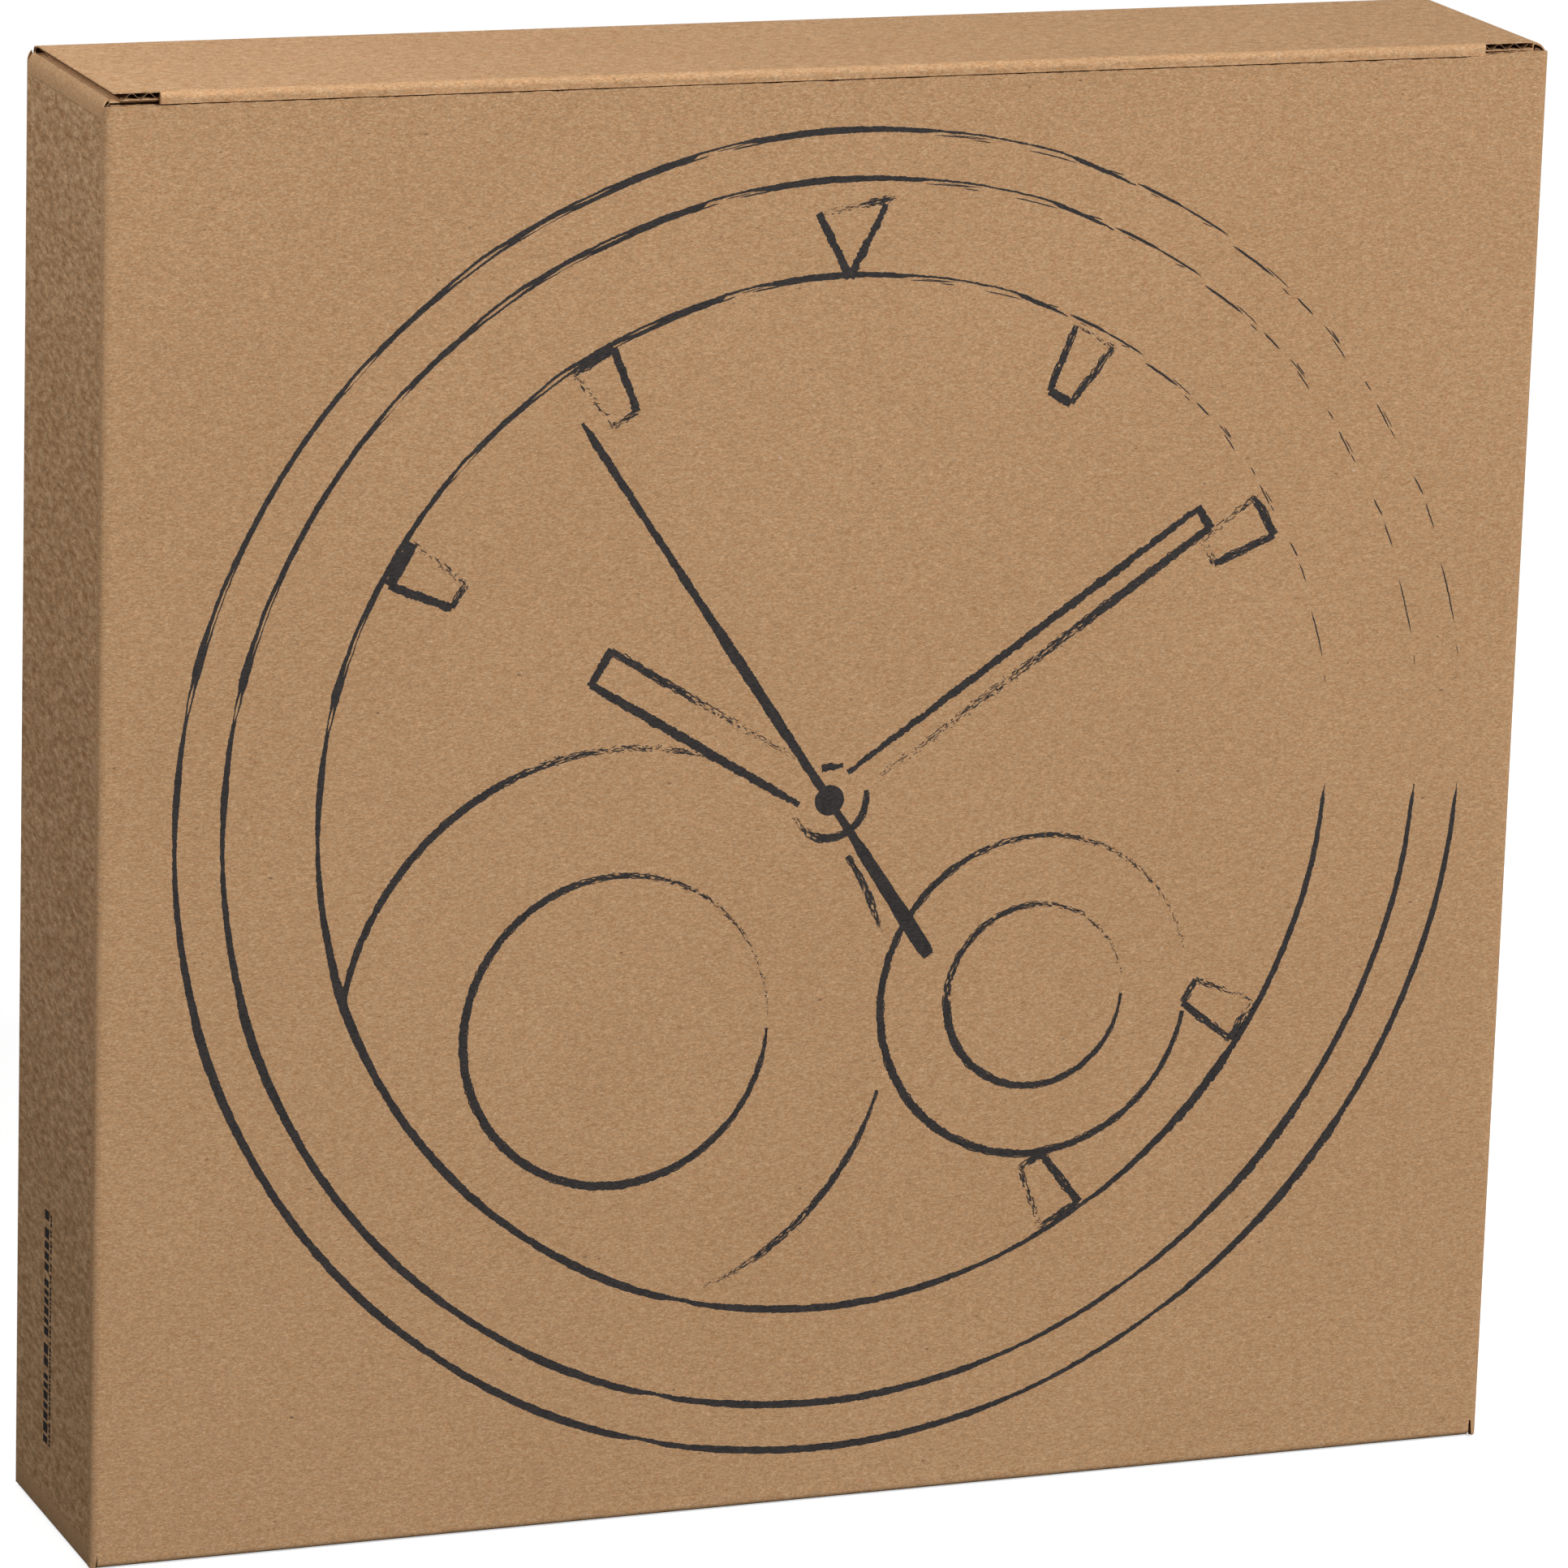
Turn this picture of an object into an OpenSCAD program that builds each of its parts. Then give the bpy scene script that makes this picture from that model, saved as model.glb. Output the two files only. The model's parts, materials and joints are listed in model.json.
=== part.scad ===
// Boxed wall clock: a reverse-tuck carton of fluted board, four pulp corner buffers, two pads,
// and a round quartz wall clock with two weather sub-dials.
// Frame: +Z up, the printed front faces -Y, origin at the centre of the carton's base.

/* [Carton] */
// Outer width of the carton, side to side
carton_w = 320; // [318:1:340]
// Outer height of the carton, closure to closure
carton_h = 313; // [313:1:330]
// Outer depth of the carton, front to back
carton_d = 58; // [58:1:70]
// Thickness of the fluted board
board = 1.8; // [1.5:0.1:2.0]
// Length of the slit lock at each end of a tuck fold
slit = 13; // [8:1:18]
// Length of a tuck flap below its fold
tuck_len = 20; // [14:1:20]
// Angle at which a tuck flap leans in from the wall in front of it
tuck_lean = 6; // [5:1:7]
// Length of a dust flap
dust_len = 50; // [35:1:60]

/* [Clock] */
// Outer radius of the clock's rim
clock_r = 150; // [140:1:150]
// Inner radius of the rim's front lip
lip_r = 139.5; // [136:0.5:140]
// Inner radius of the chapter ring
chapter_r = 117.6; // [110:0.1:120]
// Distance of the rim's front from the dial's back
rim_front = 20; // [19:0.5:20]

/* [Sub-dials] */
// Sideways distance of each sub-dial from the hand centre
sub_x = 49.5; // [48:0.5:52]
// Drop of each sub-dial below the hand centre
sub_y = 49; // [48:0.5:52]
// Outer radius of the large sub-dial
large_r = 64; // [58:0.5:64]
// Radius of the window in the large sub-dial
large_window_r = 35.4; // [30:0.1:36]
// Outer radius of the small sub-dial
small_r = 36.9; // [34:0.1:38]
// Radius of the window in the small sub-dial
small_window_r = 21; // [18:0.1:22]

/* [Hands] */
// Clockwise angle of the hour hand from twelve
hour_angle = 301.5; // [0:0.1:360]
// Clockwise angle of the minute hand from twelve
minute_angle = 55.8; // [0:0.1:360]
// Clockwise angle of the second hand from twelve
second_angle = 325.7; // [0:0.1:360]

/* [Hidden] */
$fn = 96;

half_w = carton_w / 2;
half_d = carton_d / 2;
gap = 0.1;                              // between a fold's roll and the board that turns round it
fit = 0.2;                              // between a flap and the wall that it slides behind
roll_z = carton_h - board;              // height of the top closure's fold axes
fold_y = half_d - board;                // depth of the closure's hinge fold
tuck_y = half_d - board - fit;          // depth of the closure's tuck fold
wall_end = 2 * board + gap;             // from a closure's outside to the front and back walls' edges
dust_axis = 2 * board + gap;            // from a closure's outside to a dust flap's fold axis
side_end = dust_axis + board + gap;     // from a closure's outside to the room inside
panel_half = half_w - 1.6;              // half the width of a closure
hinge_half = half_w - 2 * board - fit;  // half the length of a hinge fold, between the side walls' rolls
fold_half = panel_half - slit;          // half the length of a tuck fold
tuck_turn = 45;                         // how far a tuck flap turns in on its fold as the closure opens
arc_steps = 6;                          // segments in a quarter of a fold's roll

inner_x = half_w - 2 * board - fit;     // half the room inside, past the glue flap
inner_z = carton_h / 2 - side_end;      // half the room inside, between the dust flaps
pad_in = 20.6;                          // distance of a pad's inner face from the carton's middle
buffer_half = 20;                       // half the depth of a corner buffer
buffer_reach = 88;                      // how near the clock's centre lines a corner buffer comes
buffer_clear = 0.6;                     // gap between the clock and a corner buffer

KRAFT = [0.68, 0.52, 0.36];
PULP = [0.62, 0.60, 0.56];
STEEL = [0.72, 0.73, 0.75];
BRASS = [0.80, 0.66, 0.36];
DARK = [0.13, 0.13, 0.14];
PALE = [0.93, 0.93, 0.91];

// ---- helpers ----

function arc(cx, cy, r, from, to, steps) =
    [for (i = [0:steps]) let (a = from + (to - from) * i / steps) [cx + r * cos(a), cy + r * sin(a)]];

// A profile drawn in X and Z, swept along Y from y0 to y1.
module along_y(y0, y1) {
    translate([0, y1, 0])
        rotate([90, 0, 0])
            linear_extrude(y1 - y0)
                children();
}

// The same closure at the carton's other end: a half turn about the carton's X axis.
module other_end() {
    translate([0, 0, carton_h])
        rotate([180, 0, 0])
            children();
}

// ---- carton walls ----

// A front or back wall, drawn as the front one, with its upright creases rounded.
module wide_wall() {
    translate([0, 0, wall_end])
        linear_extrude(carton_h - 2 * wall_end)
            polygon(concat(
                arc(-half_w + board, -half_d + board, board, 180, 270, arc_steps),
                arc(half_w - board, -half_d + board, board, 270, 360, arc_steps)));
}

// A side wall, drawn as the left one, with the rolls of its two dust flap folds.
module side_wall() {
    reach = half_d - board - fit;
    translate([-half_w, -reach, dust_axis])
        cube([board, 2 * reach, carton_h - 2 * dust_axis]);
    for (z = [dust_axis, carton_h - dust_axis])
        translate([-half_w + board, reach, z])
            rotate([90, 0, 0])
                cylinder(h = 2 * reach, r = board);
}

module front_panel() color(KRAFT) wide_wall();

module back_panel() color(KRAFT) rotate([0, 0, 180]) wide_wall();

module left_panel() color(KRAFT) side_wall();

module right_panel() color(KRAFT) rotate([0, 0, 180]) side_wall();

// The glued joint: a strip inside the left wall, with bevelled ends.
module glue_flap() {
    width = 35;
    bevel = 12;
    low = side_end + 4;
    rear = half_d - board - fit;
    color(KRAFT)
        translate([-half_w + board, 0, 0])
            rotate([90, 0, 90])
                linear_extrude(board)
                    polygon([
                        [rear, low], [rear, carton_h - low],
                        [rear - width, carton_h - low - bevel], [rear - width, low + bevel]]);
}

// ---- closures, drawn at the top ----

// A closure's fold: a roll of board along X, over |x| < half, at depth y.
module fold_roll(half, y) {
    translate([-half, y, roll_z])
        rotate([0, 90, 0])
            cylinder(h = 2 * half, r = board);
}

// A slab with a hinge roll at the back, a tuck roll in front, and a plain edge past the slits.
module closure_panel() {
    lap = 1;
    edge_y = half_d - 0.8;
    translate([-panel_half, -tuck_y, roll_z])
        cube([2 * panel_half, tuck_y + fold_y, board]);
    for (x = [-panel_half, fold_half])
        translate([x, -edge_y, roll_z])
            cube([panel_half - fold_half, edge_y - tuck_y + lap, board]);
    fold_roll(hinge_half, fold_y);
    fold_roll(fold_half, -tuck_y);
}

// The flap below the tuck fold: a slab with a rounded lower outline, whose upper edge is hollowed
// round the fold and mitred so that it can turn in under the closure.
module tuck_flap() {
    corner = 9;
    inset = 1.5;
    half = fold_half - 0.4;
    round_x = half - inset - corner;
    round_y = -tuck_len + corner;
    translate([0, -tuck_y, roll_z])
        rotate([tuck_lean, 0, 0])
            difference() {
                translate([0, board + fit, 0])
                    rotate([90, 0, 0])
                        linear_extrude(board)
                            polygon(concat(
                                [[half, 0], [-half, 0]],
                                arc(-round_x, round_y, corner, 180, 270, arc_steps),
                                arc(round_x, round_y, corner, 270, 360, arc_steps)));
                translate([-half - 1, 0, 0])
                    rotate([0, 90, 0])
                        cylinder(h = 2 * half + 2, r = board + gap);
                rotate([-tuck_turn - tuck_lean - 1, 0, 0])
                    translate([-half - 1, 0, -gap])
                        cube([2 * half + 2, 3 * board, 3 * board]);
            }
}

// A dust flap, drawn as the left one: shouldered for the slit lock, and cut back so that the
// closure, which turns twice as fast, never catches up with it.
module dust_flap() {
    shoulder = panel_half - fold_half - 1.2;
    front = -half_d + board + fit;
    step = 4.2;
    rear = half_d - 2 * board - fit;
    taper = 0.5;
    front_taper = 0.11;
    corner = 6;
    turn = 90 - atan(taper);
    function cut_back(u) = fold_y - fit - taper * (u + board);
    tip_u = dust_len - corner;
    tip_y = cut_back(tip_u + corner * cos(turn)) - corner * sin(turn);
    start_u = shoulder + 1.5;
    front_turn = atan(front_taper);
    front_tip_y = front + step + front_taper * (tip_u - start_u) + corner / cos(front_turn);
    translate([-half_w + board, 0, carton_h - dust_axis])
        difference() {
            linear_extrude(board)
                polygon(concat(
                    [[0, rear], [0, front], [shoulder, front], [start_u, front + step]],
                    arc(tip_u, front_tip_y, corner, front_turn - 90, 0, arc_steps),
                    arc(tip_u, tip_y, corner, 0, turn, arc_steps),
                    [[(fold_y - fit - rear) / taper - board, rear]]));
            translate([0, rear + 1, 0])
                rotate([90, 0, 0])
                    cylinder(h = rear - front + 2, r = board + gap);
        }
}

module top_panel() color(KRAFT) closure_panel();

module top_tuck_flap() color(KRAFT) tuck_flap();

module top_dust_flap_left() color(KRAFT) dust_flap();

module top_dust_flap_right() color(KRAFT) mirror([1, 0, 0]) dust_flap();

module bottom_panel() color(KRAFT) other_end() closure_panel();

module bottom_tuck_flap() color(KRAFT) other_end() tuck_flap();

module bottom_dust_flap_left() color(KRAFT) other_end() dust_flap();

module bottom_dust_flap_right() color(KRAFT) other_end() mirror([1, 0, 0]) dust_flap();

// ---- packing ----

// A board pad, drawn as the front one, whose sides fold forwards as ribs that meet the front wall
// and stop short of the tuck flap.
module pad() {
    half = inner_x - 0.6;
    height = 2 * inner_z - 1.4;
    low = carton_h / 2 - height / 2;
    rib = half_d - board - fit - pad_in;
    translate([-half, -pad_in - board, low])
        cube([2 * half, board, height]);
    for (x = [-half, half - board])
        translate([x, -pad_in - rib, low])
            cube([board, rib, carton_h - low - tuck_len - 10]);
}

module front_pad() color(KRAFT) pad();

module rear_pad() color(KRAFT) other_end() pad();

// A corner buffer of moulded pulp, drawn for the upper right corner, hollowed to the clock's rim.
module corner_buffer() {
    wide = inner_x - fit;
    high = inner_z - fit;
    r = clock_r + buffer_clear;
    from = asin(buffer_reach / r);
    translate([0, 0, carton_h / 2])
        along_y(-buffer_half, buffer_half)
            polygon(concat(
                [[wide, buffer_reach], [wide, high], [buffer_reach, high]],
                arc(0, 0, r, 90 - from, from, 16)));
}

module corner_buffer_top_right() color(PULP) corner_buffer();

module corner_buffer_top_left() color(PULP) mirror([1, 0, 0]) corner_buffer();

module corner_buffer_bottom_right() color(PULP) other_end() corner_buffer();

module corner_buffer_bottom_left() color(PULP) other_end() mirror([1, 0, 0]) corner_buffer();

// ---- clock ----
// Each clock part is drawn face up: X to the right, Y to twelve, Z towards the viewer, with
// Z = 0 at the back of the dial. in_clock() stands it up in the carton, facing the front.

module in_clock() {
    translate([0, 0, carton_h / 2])
        rotate([90, 0, 0])
            children();
}

// A ring or disc: from z0 to z1, between radius ri and radius ro.
module ring(z0, z1, ro, ri) {
    translate([0, 0, z0])
        difference() {
            cylinder(h = z1 - z0, r = ro);
            if (ri > 0)
                translate([0, 0, -1])
                    cylinder(h = z1 - z0 + 2, r = ri);
        }
}

// Places children on a radius at a clockwise angle from twelve, pointing outwards.
module at_hour(angle) {
    rotate([0, 0, -angle])
        children();
}

rim_back = -18.8;
skirt_r = clock_r - 2.5;
seat_r = skirt_r - 0.3;
glass_z = rim_front - 4.6;
dial_thick = 1;
chapter_top = dial_thick + 1.4;
cover_z = -16.6;
cover_thick = 1.8;
screw_pcr = 143.5;
screw_count = 6;
screw_r = 1.1;
screw_gap = 0.05;
hanger_y = 108;
hanger_thick = 1;

module case_rim() color(STEEL) in_clock()
    rotate_extrude($fn = 180)
        polygon([
            [skirt_r, rim_back], [clock_r - 0.8, rim_back], [clock_r, rim_back + 0.8],
            [clock_r, rim_front - 2.5], [clock_r - 0.8, rim_front - 0.8], [clock_r - 2.5, rim_front],
            [lip_r + 2, rim_front], [lip_r, rim_front - 1.4], [lip_r, rim_front - 2.4],
            [skirt_r, rim_front - 2.4]]);

module glass() color([0.8, 0.9, 0.95, 0.35]) in_clock()
    ring(glass_z, glass_z + 2, seat_r, 0);

module glass_gasket() color(DARK) in_clock()
    ring(glass_z - 1.2, glass_z - 0.05, seat_r - 0.4, seat_r - 4);

// A flat ring round the dial with a wall that holds the glass off it.
module chapter_ring() color(PALE) in_clock()
    rotate_extrude($fn = 180)
        polygon([
            [chapter_r, dial_thick + 0.05], [seat_r - 0.4, dial_thick + 0.05],
            [seat_r - 0.4, glass_z - 1.25], [seat_r - 4, glass_z - 1.25],
            [lip_r - 1, chapter_top + 0.8], [lip_r - 2, chapter_top], [chapter_r, chapter_top]]);

module dial_plate() color(PALE) in_clock()
    difference() {
        cylinder(h = dial_thick, r = seat_r - 0.4);
        translate([0, 0, -1])
            cylinder(h = dial_thick + 2, r = 4.15);
        translate([-sub_x, -sub_y, -1])
            cylinder(h = dial_thick + 2, r = large_window_r);
        translate([sub_x, -sub_y, -1])
            cylinder(h = dial_thick + 2, r = small_window_r);
    }

module at_hanger_screws() {
    for (x = [-14, 14])
        translate([x, hanger_y, 0])
            children();
}

module at_back_screws() {
    for (i = [0:screw_count - 1])
        rotate([0, 0, (i + 0.5) * 360 / screw_count])
            translate([screw_pcr, 0, 0])
                children();
}

module spacer_ring() color(DARK) in_clock()
    difference() {
        ring(cover_z + cover_thick + 0.05, -0.05, seat_r, 139.5);
        at_back_screws()
            translate([0, 0, cover_z])
                cylinder(h = 10, r = screw_r + screw_gap, $fn = 24);
    }

// A moulded disc with openings for the movement and behind the hanger, and six screw holes.
module back_cover() color(DARK) in_clock()
    translate([0, 0, cover_z])
        difference() {
            cylinder(h = cover_thick, r = seat_r);
            translate([-29, -19, -1])
                cube([58, 58, cover_thick + 2]);
            translate([-9, hanger_y - 9, -1])
                cube([18, 18, cover_thick + 2]);
            at_back_screws()
                translate([0, 0, -1])
                    cylinder(h = cover_thick + 2, r = screw_r + screw_gap, $fn = 24);
            at_hanger_screws()
                translate([0, 0, -1])
                    cylinder(h = cover_thick + 2, r = screw_r + screw_gap, $fn = 24);
        }

// A slotted screw with a low head, pointing towards +Z.
module screw(shank_len) {
    head_r = 2.2;
    difference() {
        union() {
            translate([0, 0, -0.9])
                cylinder(h = 0.9, r = head_r, $fn = 32);
            cylinder(h = shank_len, r = screw_r, $fn = 24);
        }
        translate([-head_r, -0.3, -1.4])
            cube([2 * head_r, 0.6, 1]);
    }
}

// The screws of the back cover and of the hanger.
module case_screws() color(STEEL) in_clock() {
    at_back_screws()
        translate([0, 0, cover_z])
            screw(8);
    at_hanger_screws()
        translate([0, 0, cover_z - hanger_thick])
            screw(4.5);
}

// A steel plate with a keyhole: the head of a wall screw enters below and slides up the slot.
module wall_hanger() color(STEEL) in_clock()
    difference() {
        translate([-19, hanger_y - 10, cover_z - hanger_thick])
            cube([38, 20, hanger_thick]);
        translate([0, hanger_y - 3.5, cover_z - 2])
            cylinder(h = 3, r = 4.5, $fn = 48);
        translate([-2.3, hanger_y - 3.5, cover_z - 2])
            cube([4.6, 9, 3]);
        translate([0, hanger_y + 5.5, cover_z - 2])
            cylinder(h = 3, r = 2.3, $fn = 48);
        at_hanger_screws()
            translate([0, 0, cover_z - 2])
                cylinder(h = 3, r = screw_r + screw_gap, $fn = 24);
    }

// The applied markers that the sub-dials leave room for: a triangle on the chapter ring at
// twelve, and tapers of equal length on the dial.
module hour_markers() color(DARK) in_clock() {
    translate([0, 0, chapter_top])
        linear_extrude(1)
            polygon([[0, chapter_r + 0.4], [-7.8, chapter_r + 14], [7.8, chapter_r + 14]]);
    for (angle = [30, 60, 120, 150, 300, 330])
        at_hour(angle)
            translate([0, 0, dial_thick])
                linear_extrude(angle > 90 && angle < 270 ? 2.4 : 1)
                    polygon([
                        [-5, chapter_r - 0.4], [5, chapter_r - 0.4],
                        [2.9, chapter_r - 16], [-2.9, chapter_r - 16]]);
}

// ---- weather sub-dials ----

module thermometer_ring() color(STEEL) in_clock()
    translate([0, 0, dial_thick])
        linear_extrude(0.8)
            difference() {
                intersection() {
                    translate([-sub_x, -sub_y]) circle(r = large_r);
                    circle(r = chapter_r - 0.3);
                }
                translate([-sub_x, -sub_y]) circle(r = large_window_r);
                translate([sub_x, -sub_y]) circle(r = small_r + 0.5);
                circle(r = 9.5);
            }

module hygrometer_ring() color(STEEL) in_clock()
    translate([0, 0, dial_thick])
        linear_extrude(1.2)
            difference() {
                translate([sub_x, -sub_y]) circle(r = small_r);
                translate([sub_x, -sub_y]) circle(r = small_window_r);
                for (angle = [120, 150])
                    at_hour(angle)
                        polygon([
                            [-5.2, chapter_r], [5.2, chapter_r],
                            [3.1, chapter_r - 16.2], [-3.1, chapter_r - 16.2]]);
            }

// The parts of a weather gauge, drawn round their own spindle. The cup hangs behind the dial
// by a flange.
cup_floor = -9;
face_z = -1.4;
spindle_r = 0.8;

module gauge_cup(r) {
    difference() {
        union() {
            translate([0, 0, cup_floor])
                cylinder(h = -cup_floor + 0.9, r = r - 0.05);
            translate([0, 0, -1])
                cylinder(h = 0.95, r = r + 1.5);
        }
        translate([0, 0, cup_floor + 1])
            cylinder(h = -cup_floor + 2, r = r - 1.2);
        translate([0, 0, cup_floor - 1])
            cylinder(h = 3, r = spindle_r + 0.05, $fn = 32);
    }
}

module gauge_face(r) {
    translate([0, 0, face_z])
        difference() {
            cylinder(h = 0.6, r = r - 1.25);
            translate([0, 0, -1])
                cylinder(h = 3, r = spindle_r + 0.4, $fn = 32);
        }
}

// A flat spiral strip round the spindle.
module gauge_coil(turns, r0, pitch) {
    strip = 0.35;
    steps = 20;
    function spiral(offset) =
        [for (i = [0:turns * steps]) let (a = 360 * i / steps, r = r0 + pitch * i / steps + offset)
            [r * cos(a), r * sin(a)]];
    outer = spiral(strip);
    inner = spiral(0);
    translate([0, 0, -6.5])
        linear_extrude(3.2)
            polygon(concat(outer, [for (i = [len(inner) - 1:-1:0]) inner[i]]));
}

// A needle with a boss on a spindle that turns in the cup's floor.
module gauge_pointer(reach, angle) {
    at_hour(angle)
        translate([0, 0, 0.4])
            linear_extrude(0.5)
                polygon([[-0.9, -0.25 * reach], [0.9, -0.25 * reach], [1.1, 0], [0.2, reach],
                    [-0.2, reach], [-1.1, 0]]);
    translate([0, 0, 0.4])
        cylinder(h = 1.1, r = 2.2, $fn = 48);
    translate([0, 0, cup_floor + 0.2])
        cylinder(h = -cup_floor + 0.8, r = spindle_r, $fn = 32);
}

module at_thermometer() in_clock() translate([-sub_x, -sub_y, 0]) children();

module at_hygrometer() in_clock() translate([sub_x, -sub_y, 0]) children();

module thermometer_cup() color(DARK) at_thermometer() gauge_cup(large_window_r);

module thermometer_face() color(PALE) at_thermometer() gauge_face(large_window_r);

module thermometer_coil() color(BRASS) at_thermometer() gauge_coil(5, 1.6, 2.2);

module thermometer_pointer() color(DARK) at_thermometer() gauge_pointer(29, 330);

module hygrometer_cup() color(DARK) at_hygrometer() gauge_cup(small_window_r);

module hygrometer_face() color(PALE) at_hygrometer() gauge_face(small_window_r);

module hygrometer_coil() color(BRASS) at_hygrometer() gauge_coil(4, 1.6, 1.9);

module hygrometer_pointer() color(DARK) at_hygrometer() gauge_pointer(16, 20);

// ---- hands ----
// Each hand is on a tube or arbor of the movement: hour outside, minute inside it, second inside that.

hour_tube_r = 2.65;
minute_tube_r = 1.75;
second_arbor_r = 0.6;
bore_gap = 0.05;
hour_z = 4.8;
minute_z = 6.9;
second_z = 8.8;

module hour_hand() color(DARK) in_clock()
    at_hour(hour_angle)
        translate([0, 0, hour_z])
            linear_extrude(0.8)
                difference() {
                    union() {
                        circle(r = 8.6);
                        translate([-4.3, 0]) square([8.6, 64]);
                    }
                    circle(r = hour_tube_r);
                }

module minute_hand() color(DARK) in_clock()
    at_hour(minute_angle)
        translate([0, 0, minute_z])
            linear_extrude(0.7)
                difference() {
                    union() {
                        circle(r = 6);
                        translate([-2.6, 0]) square([5.2, 107]);
                    }
                    circle(r = minute_tube_r);
                }

// The second hand: a long needle, a hub and a heavy tail that balances it.
module second_hand() color(DARK) in_clock()
    at_hour(second_angle) {
        translate([0, 0, second_z])
            linear_extrude(0.5)
                difference() {
                    union() {
                        polygon([[-0.8, 0], [0.8, 0], [0.5, 107], [-0.5, 107]]);
                        polygon([[-0.8, 0], [0.8, 0], [1.6, -16], [1.6, -44], [-1.6, -44], [-1.6, -16]]);
                        circle(r = 3.5);
                    }
                    circle(r = second_arbor_r);
                }
        ring(second_z + 0.5, second_z + 1.1, 3.5, 0);
    }

// ---- movement ----

case_half = 28;
case_low = -18;
case_high = 38;
case_wall = 1.2;
case_front = -1;
case_back = -15;
divider_y = 21;
centre_m = 0.34;                        // module of the third pinion and the centre wheel
third_m = 0.36;                         // module of the second pinion and the third wheel
motion_m = 0.4;                         // module of the cannon pinion, the motion wheel and the knob
hour_m = 0.384;                         // module of the motion pinion and the hour wheel
second_m = 0.4;                         // module of the intermediate pinion and the second wheel
rotor_m = 0.3;                          // module of the rotor's pinion and the intermediate wheel
third_at = [third_m * (8 + 60) / 2, 0];
motion_at = [-motion_m * (12 + 36) / 2, 0];
middle_at = [0, second_m * (40 + 8) / 2];
rotor_at = middle_at + [rotor_m * (36 + 6) / 2, 0];
knob_at = motion_at + motion_m * (36 + 12) / 2 * [cos(225), sin(225)];
bridge_posts = [[-10, 13], [12.8, 12.5]];
stator_posts = [[9, 18], [-14.2, 18.8]];
board_posts = [[-24, 12], [-24, -12]];
stator_z = -12.2;
bridge_z = -10.15;
board_z = -14.4;
plate = 0.6;                            // thickness of the bridge and of the stator
arbor_r = 0.6;

// A spur gear with straight-flanked teeth and backlash, with a tooth centred on angle phase.
module gear(teeth, m, z0, z1, phase, bore_r) {
    root = m * (teeth / 2 - 1.15);
    tip = m * (teeth / 2 + 0.75);
    pitch = 360 / teeth;
    at_root = pitch * 0.30;
    at_tip = pitch * 0.09;
    points = [for (i = [0:teeth - 1]) let (a = phase + i * pitch)
        each [
            [root * cos(a - at_root), root * sin(a - at_root)],
            [tip * cos(a - at_tip), tip * sin(a - at_tip)],
            [tip * cos(a + at_tip), tip * sin(a + at_tip)],
            [root * cos(a + at_root), root * sin(a + at_root)]]];
    translate([0, 0, z0])
        linear_extrude(z1 - z0)
            difference() {
                polygon(points);
                if (bore_r > 0)
                    circle(r = bore_r, $fn = 48);
            }
}

module arbor(z0, z1) translate([0, 0, z0]) cylinder(h = z1 - z0, r = arbor_r, $fn = 48);

// A post from the case's front wall to depth z, with a pin on its end.
module post(at, r, z) {
    translate([at[0], at[1], z])
        cylinder(h = case_front - 1 - z, r = r, $fn = 48);
    translate([at[0], at[1], z - 1])
        cylinder(h = 2, r = 0.5, $fn = 32);
}

// The front half of the movement's case, with the threaded bush that the dial is clamped on.
module movement_case() color(DARK) in_clock()
    difference() {
        union() {
            difference() {
                translate([-case_half, case_low, case_back])
                    cube([2 * case_half, case_high - case_low, case_front - case_back]);
                translate([-case_half + case_wall, case_low + case_wall, case_back - 1])
                    cube([2 * (case_half - case_wall), divider_y - case_low - case_wall, 13.8]);
                translate([-case_half + case_wall, divider_y + case_wall, case_back - 1])
                    cube([2 * (case_half - case_wall), case_high - divider_y - 2 * case_wall, 14]);
            }
            translate([0, 0, case_front - 0.5])
                cylinder(h = 5.1, r = 3.9);
            for (at = bridge_posts)
                post(at, 1, bridge_z + plate);
            for (at = stator_posts)
                post(at, 1, stator_z + plate);
            for (at = board_posts)
                post(at, 1.2, board_z + 1);
            translate([motion_at[0], motion_at[1], -5.9])
                cylinder(h = 4, r = arbor_r, $fn = 48);
        }
        translate([0, 0, case_front - 5])
            cylinder(h = 12, r = hour_tube_r + bore_gap);
        for (at = [third_at, knob_at])
            translate([at[0], at[1], case_front - 2])
                cylinder(h = 1.6, r = arbor_r + bore_gap, $fn = 48);
    }

// The rear plate over the gears, with pivot holes and the hole for the setting knob's stem.
module movement_back() color(DARK) in_clock()
    difference() {
        translate([-case_half, case_low, case_back - 1.25])
            cube([2 * case_half, divider_y + case_wall - case_low, 1.2]);
        for (at = [[0, 0], third_at, middle_at, rotor_at])
            translate([at[0], at[1], case_back - 3])
                cylinder(h = 6, r = arbor_r + bore_gap, $fn = 48);
        translate([knob_at[0], knob_at[1], case_back - 3])
            cylinder(h = 6, r = 1.5 + bore_gap, $fn = 48);
    }

module pin_holes(posts, z) {
    for (at = posts)
        translate([at[0], at[1], z - 1])
            cylinder(h = 3, r = 0.5 + bore_gap, $fn = 32);
}

// The plate between the slow and the fast gears.
module gear_bridge() color(BRASS) in_clock()
    difference() {
        translate([-12, 7.4, bridge_z])
            cube([26, divider_y - 7.6, plate]);
        for (at = [middle_at, rotor_at])
            translate([at[0], at[1], bridge_z - 1])
                cylinder(h = 3, r = arbor_r + bore_gap, $fn = 48);
        translate([stator_posts[0][0], stator_posts[0][1], bridge_z - 1])
            cylinder(h = 3, r = 1 + bore_gap, $fn = 48);
        pin_holes(bridge_posts, bridge_z);
    }

module hour_wheel() color(PALE) in_clock() {
    gear(40, hour_m, -3.9, -2.9, 184.5, 1.8);
    ring(-3.4, hour_z + 1, hour_tube_r, minute_tube_r + bore_gap);
}

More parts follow.
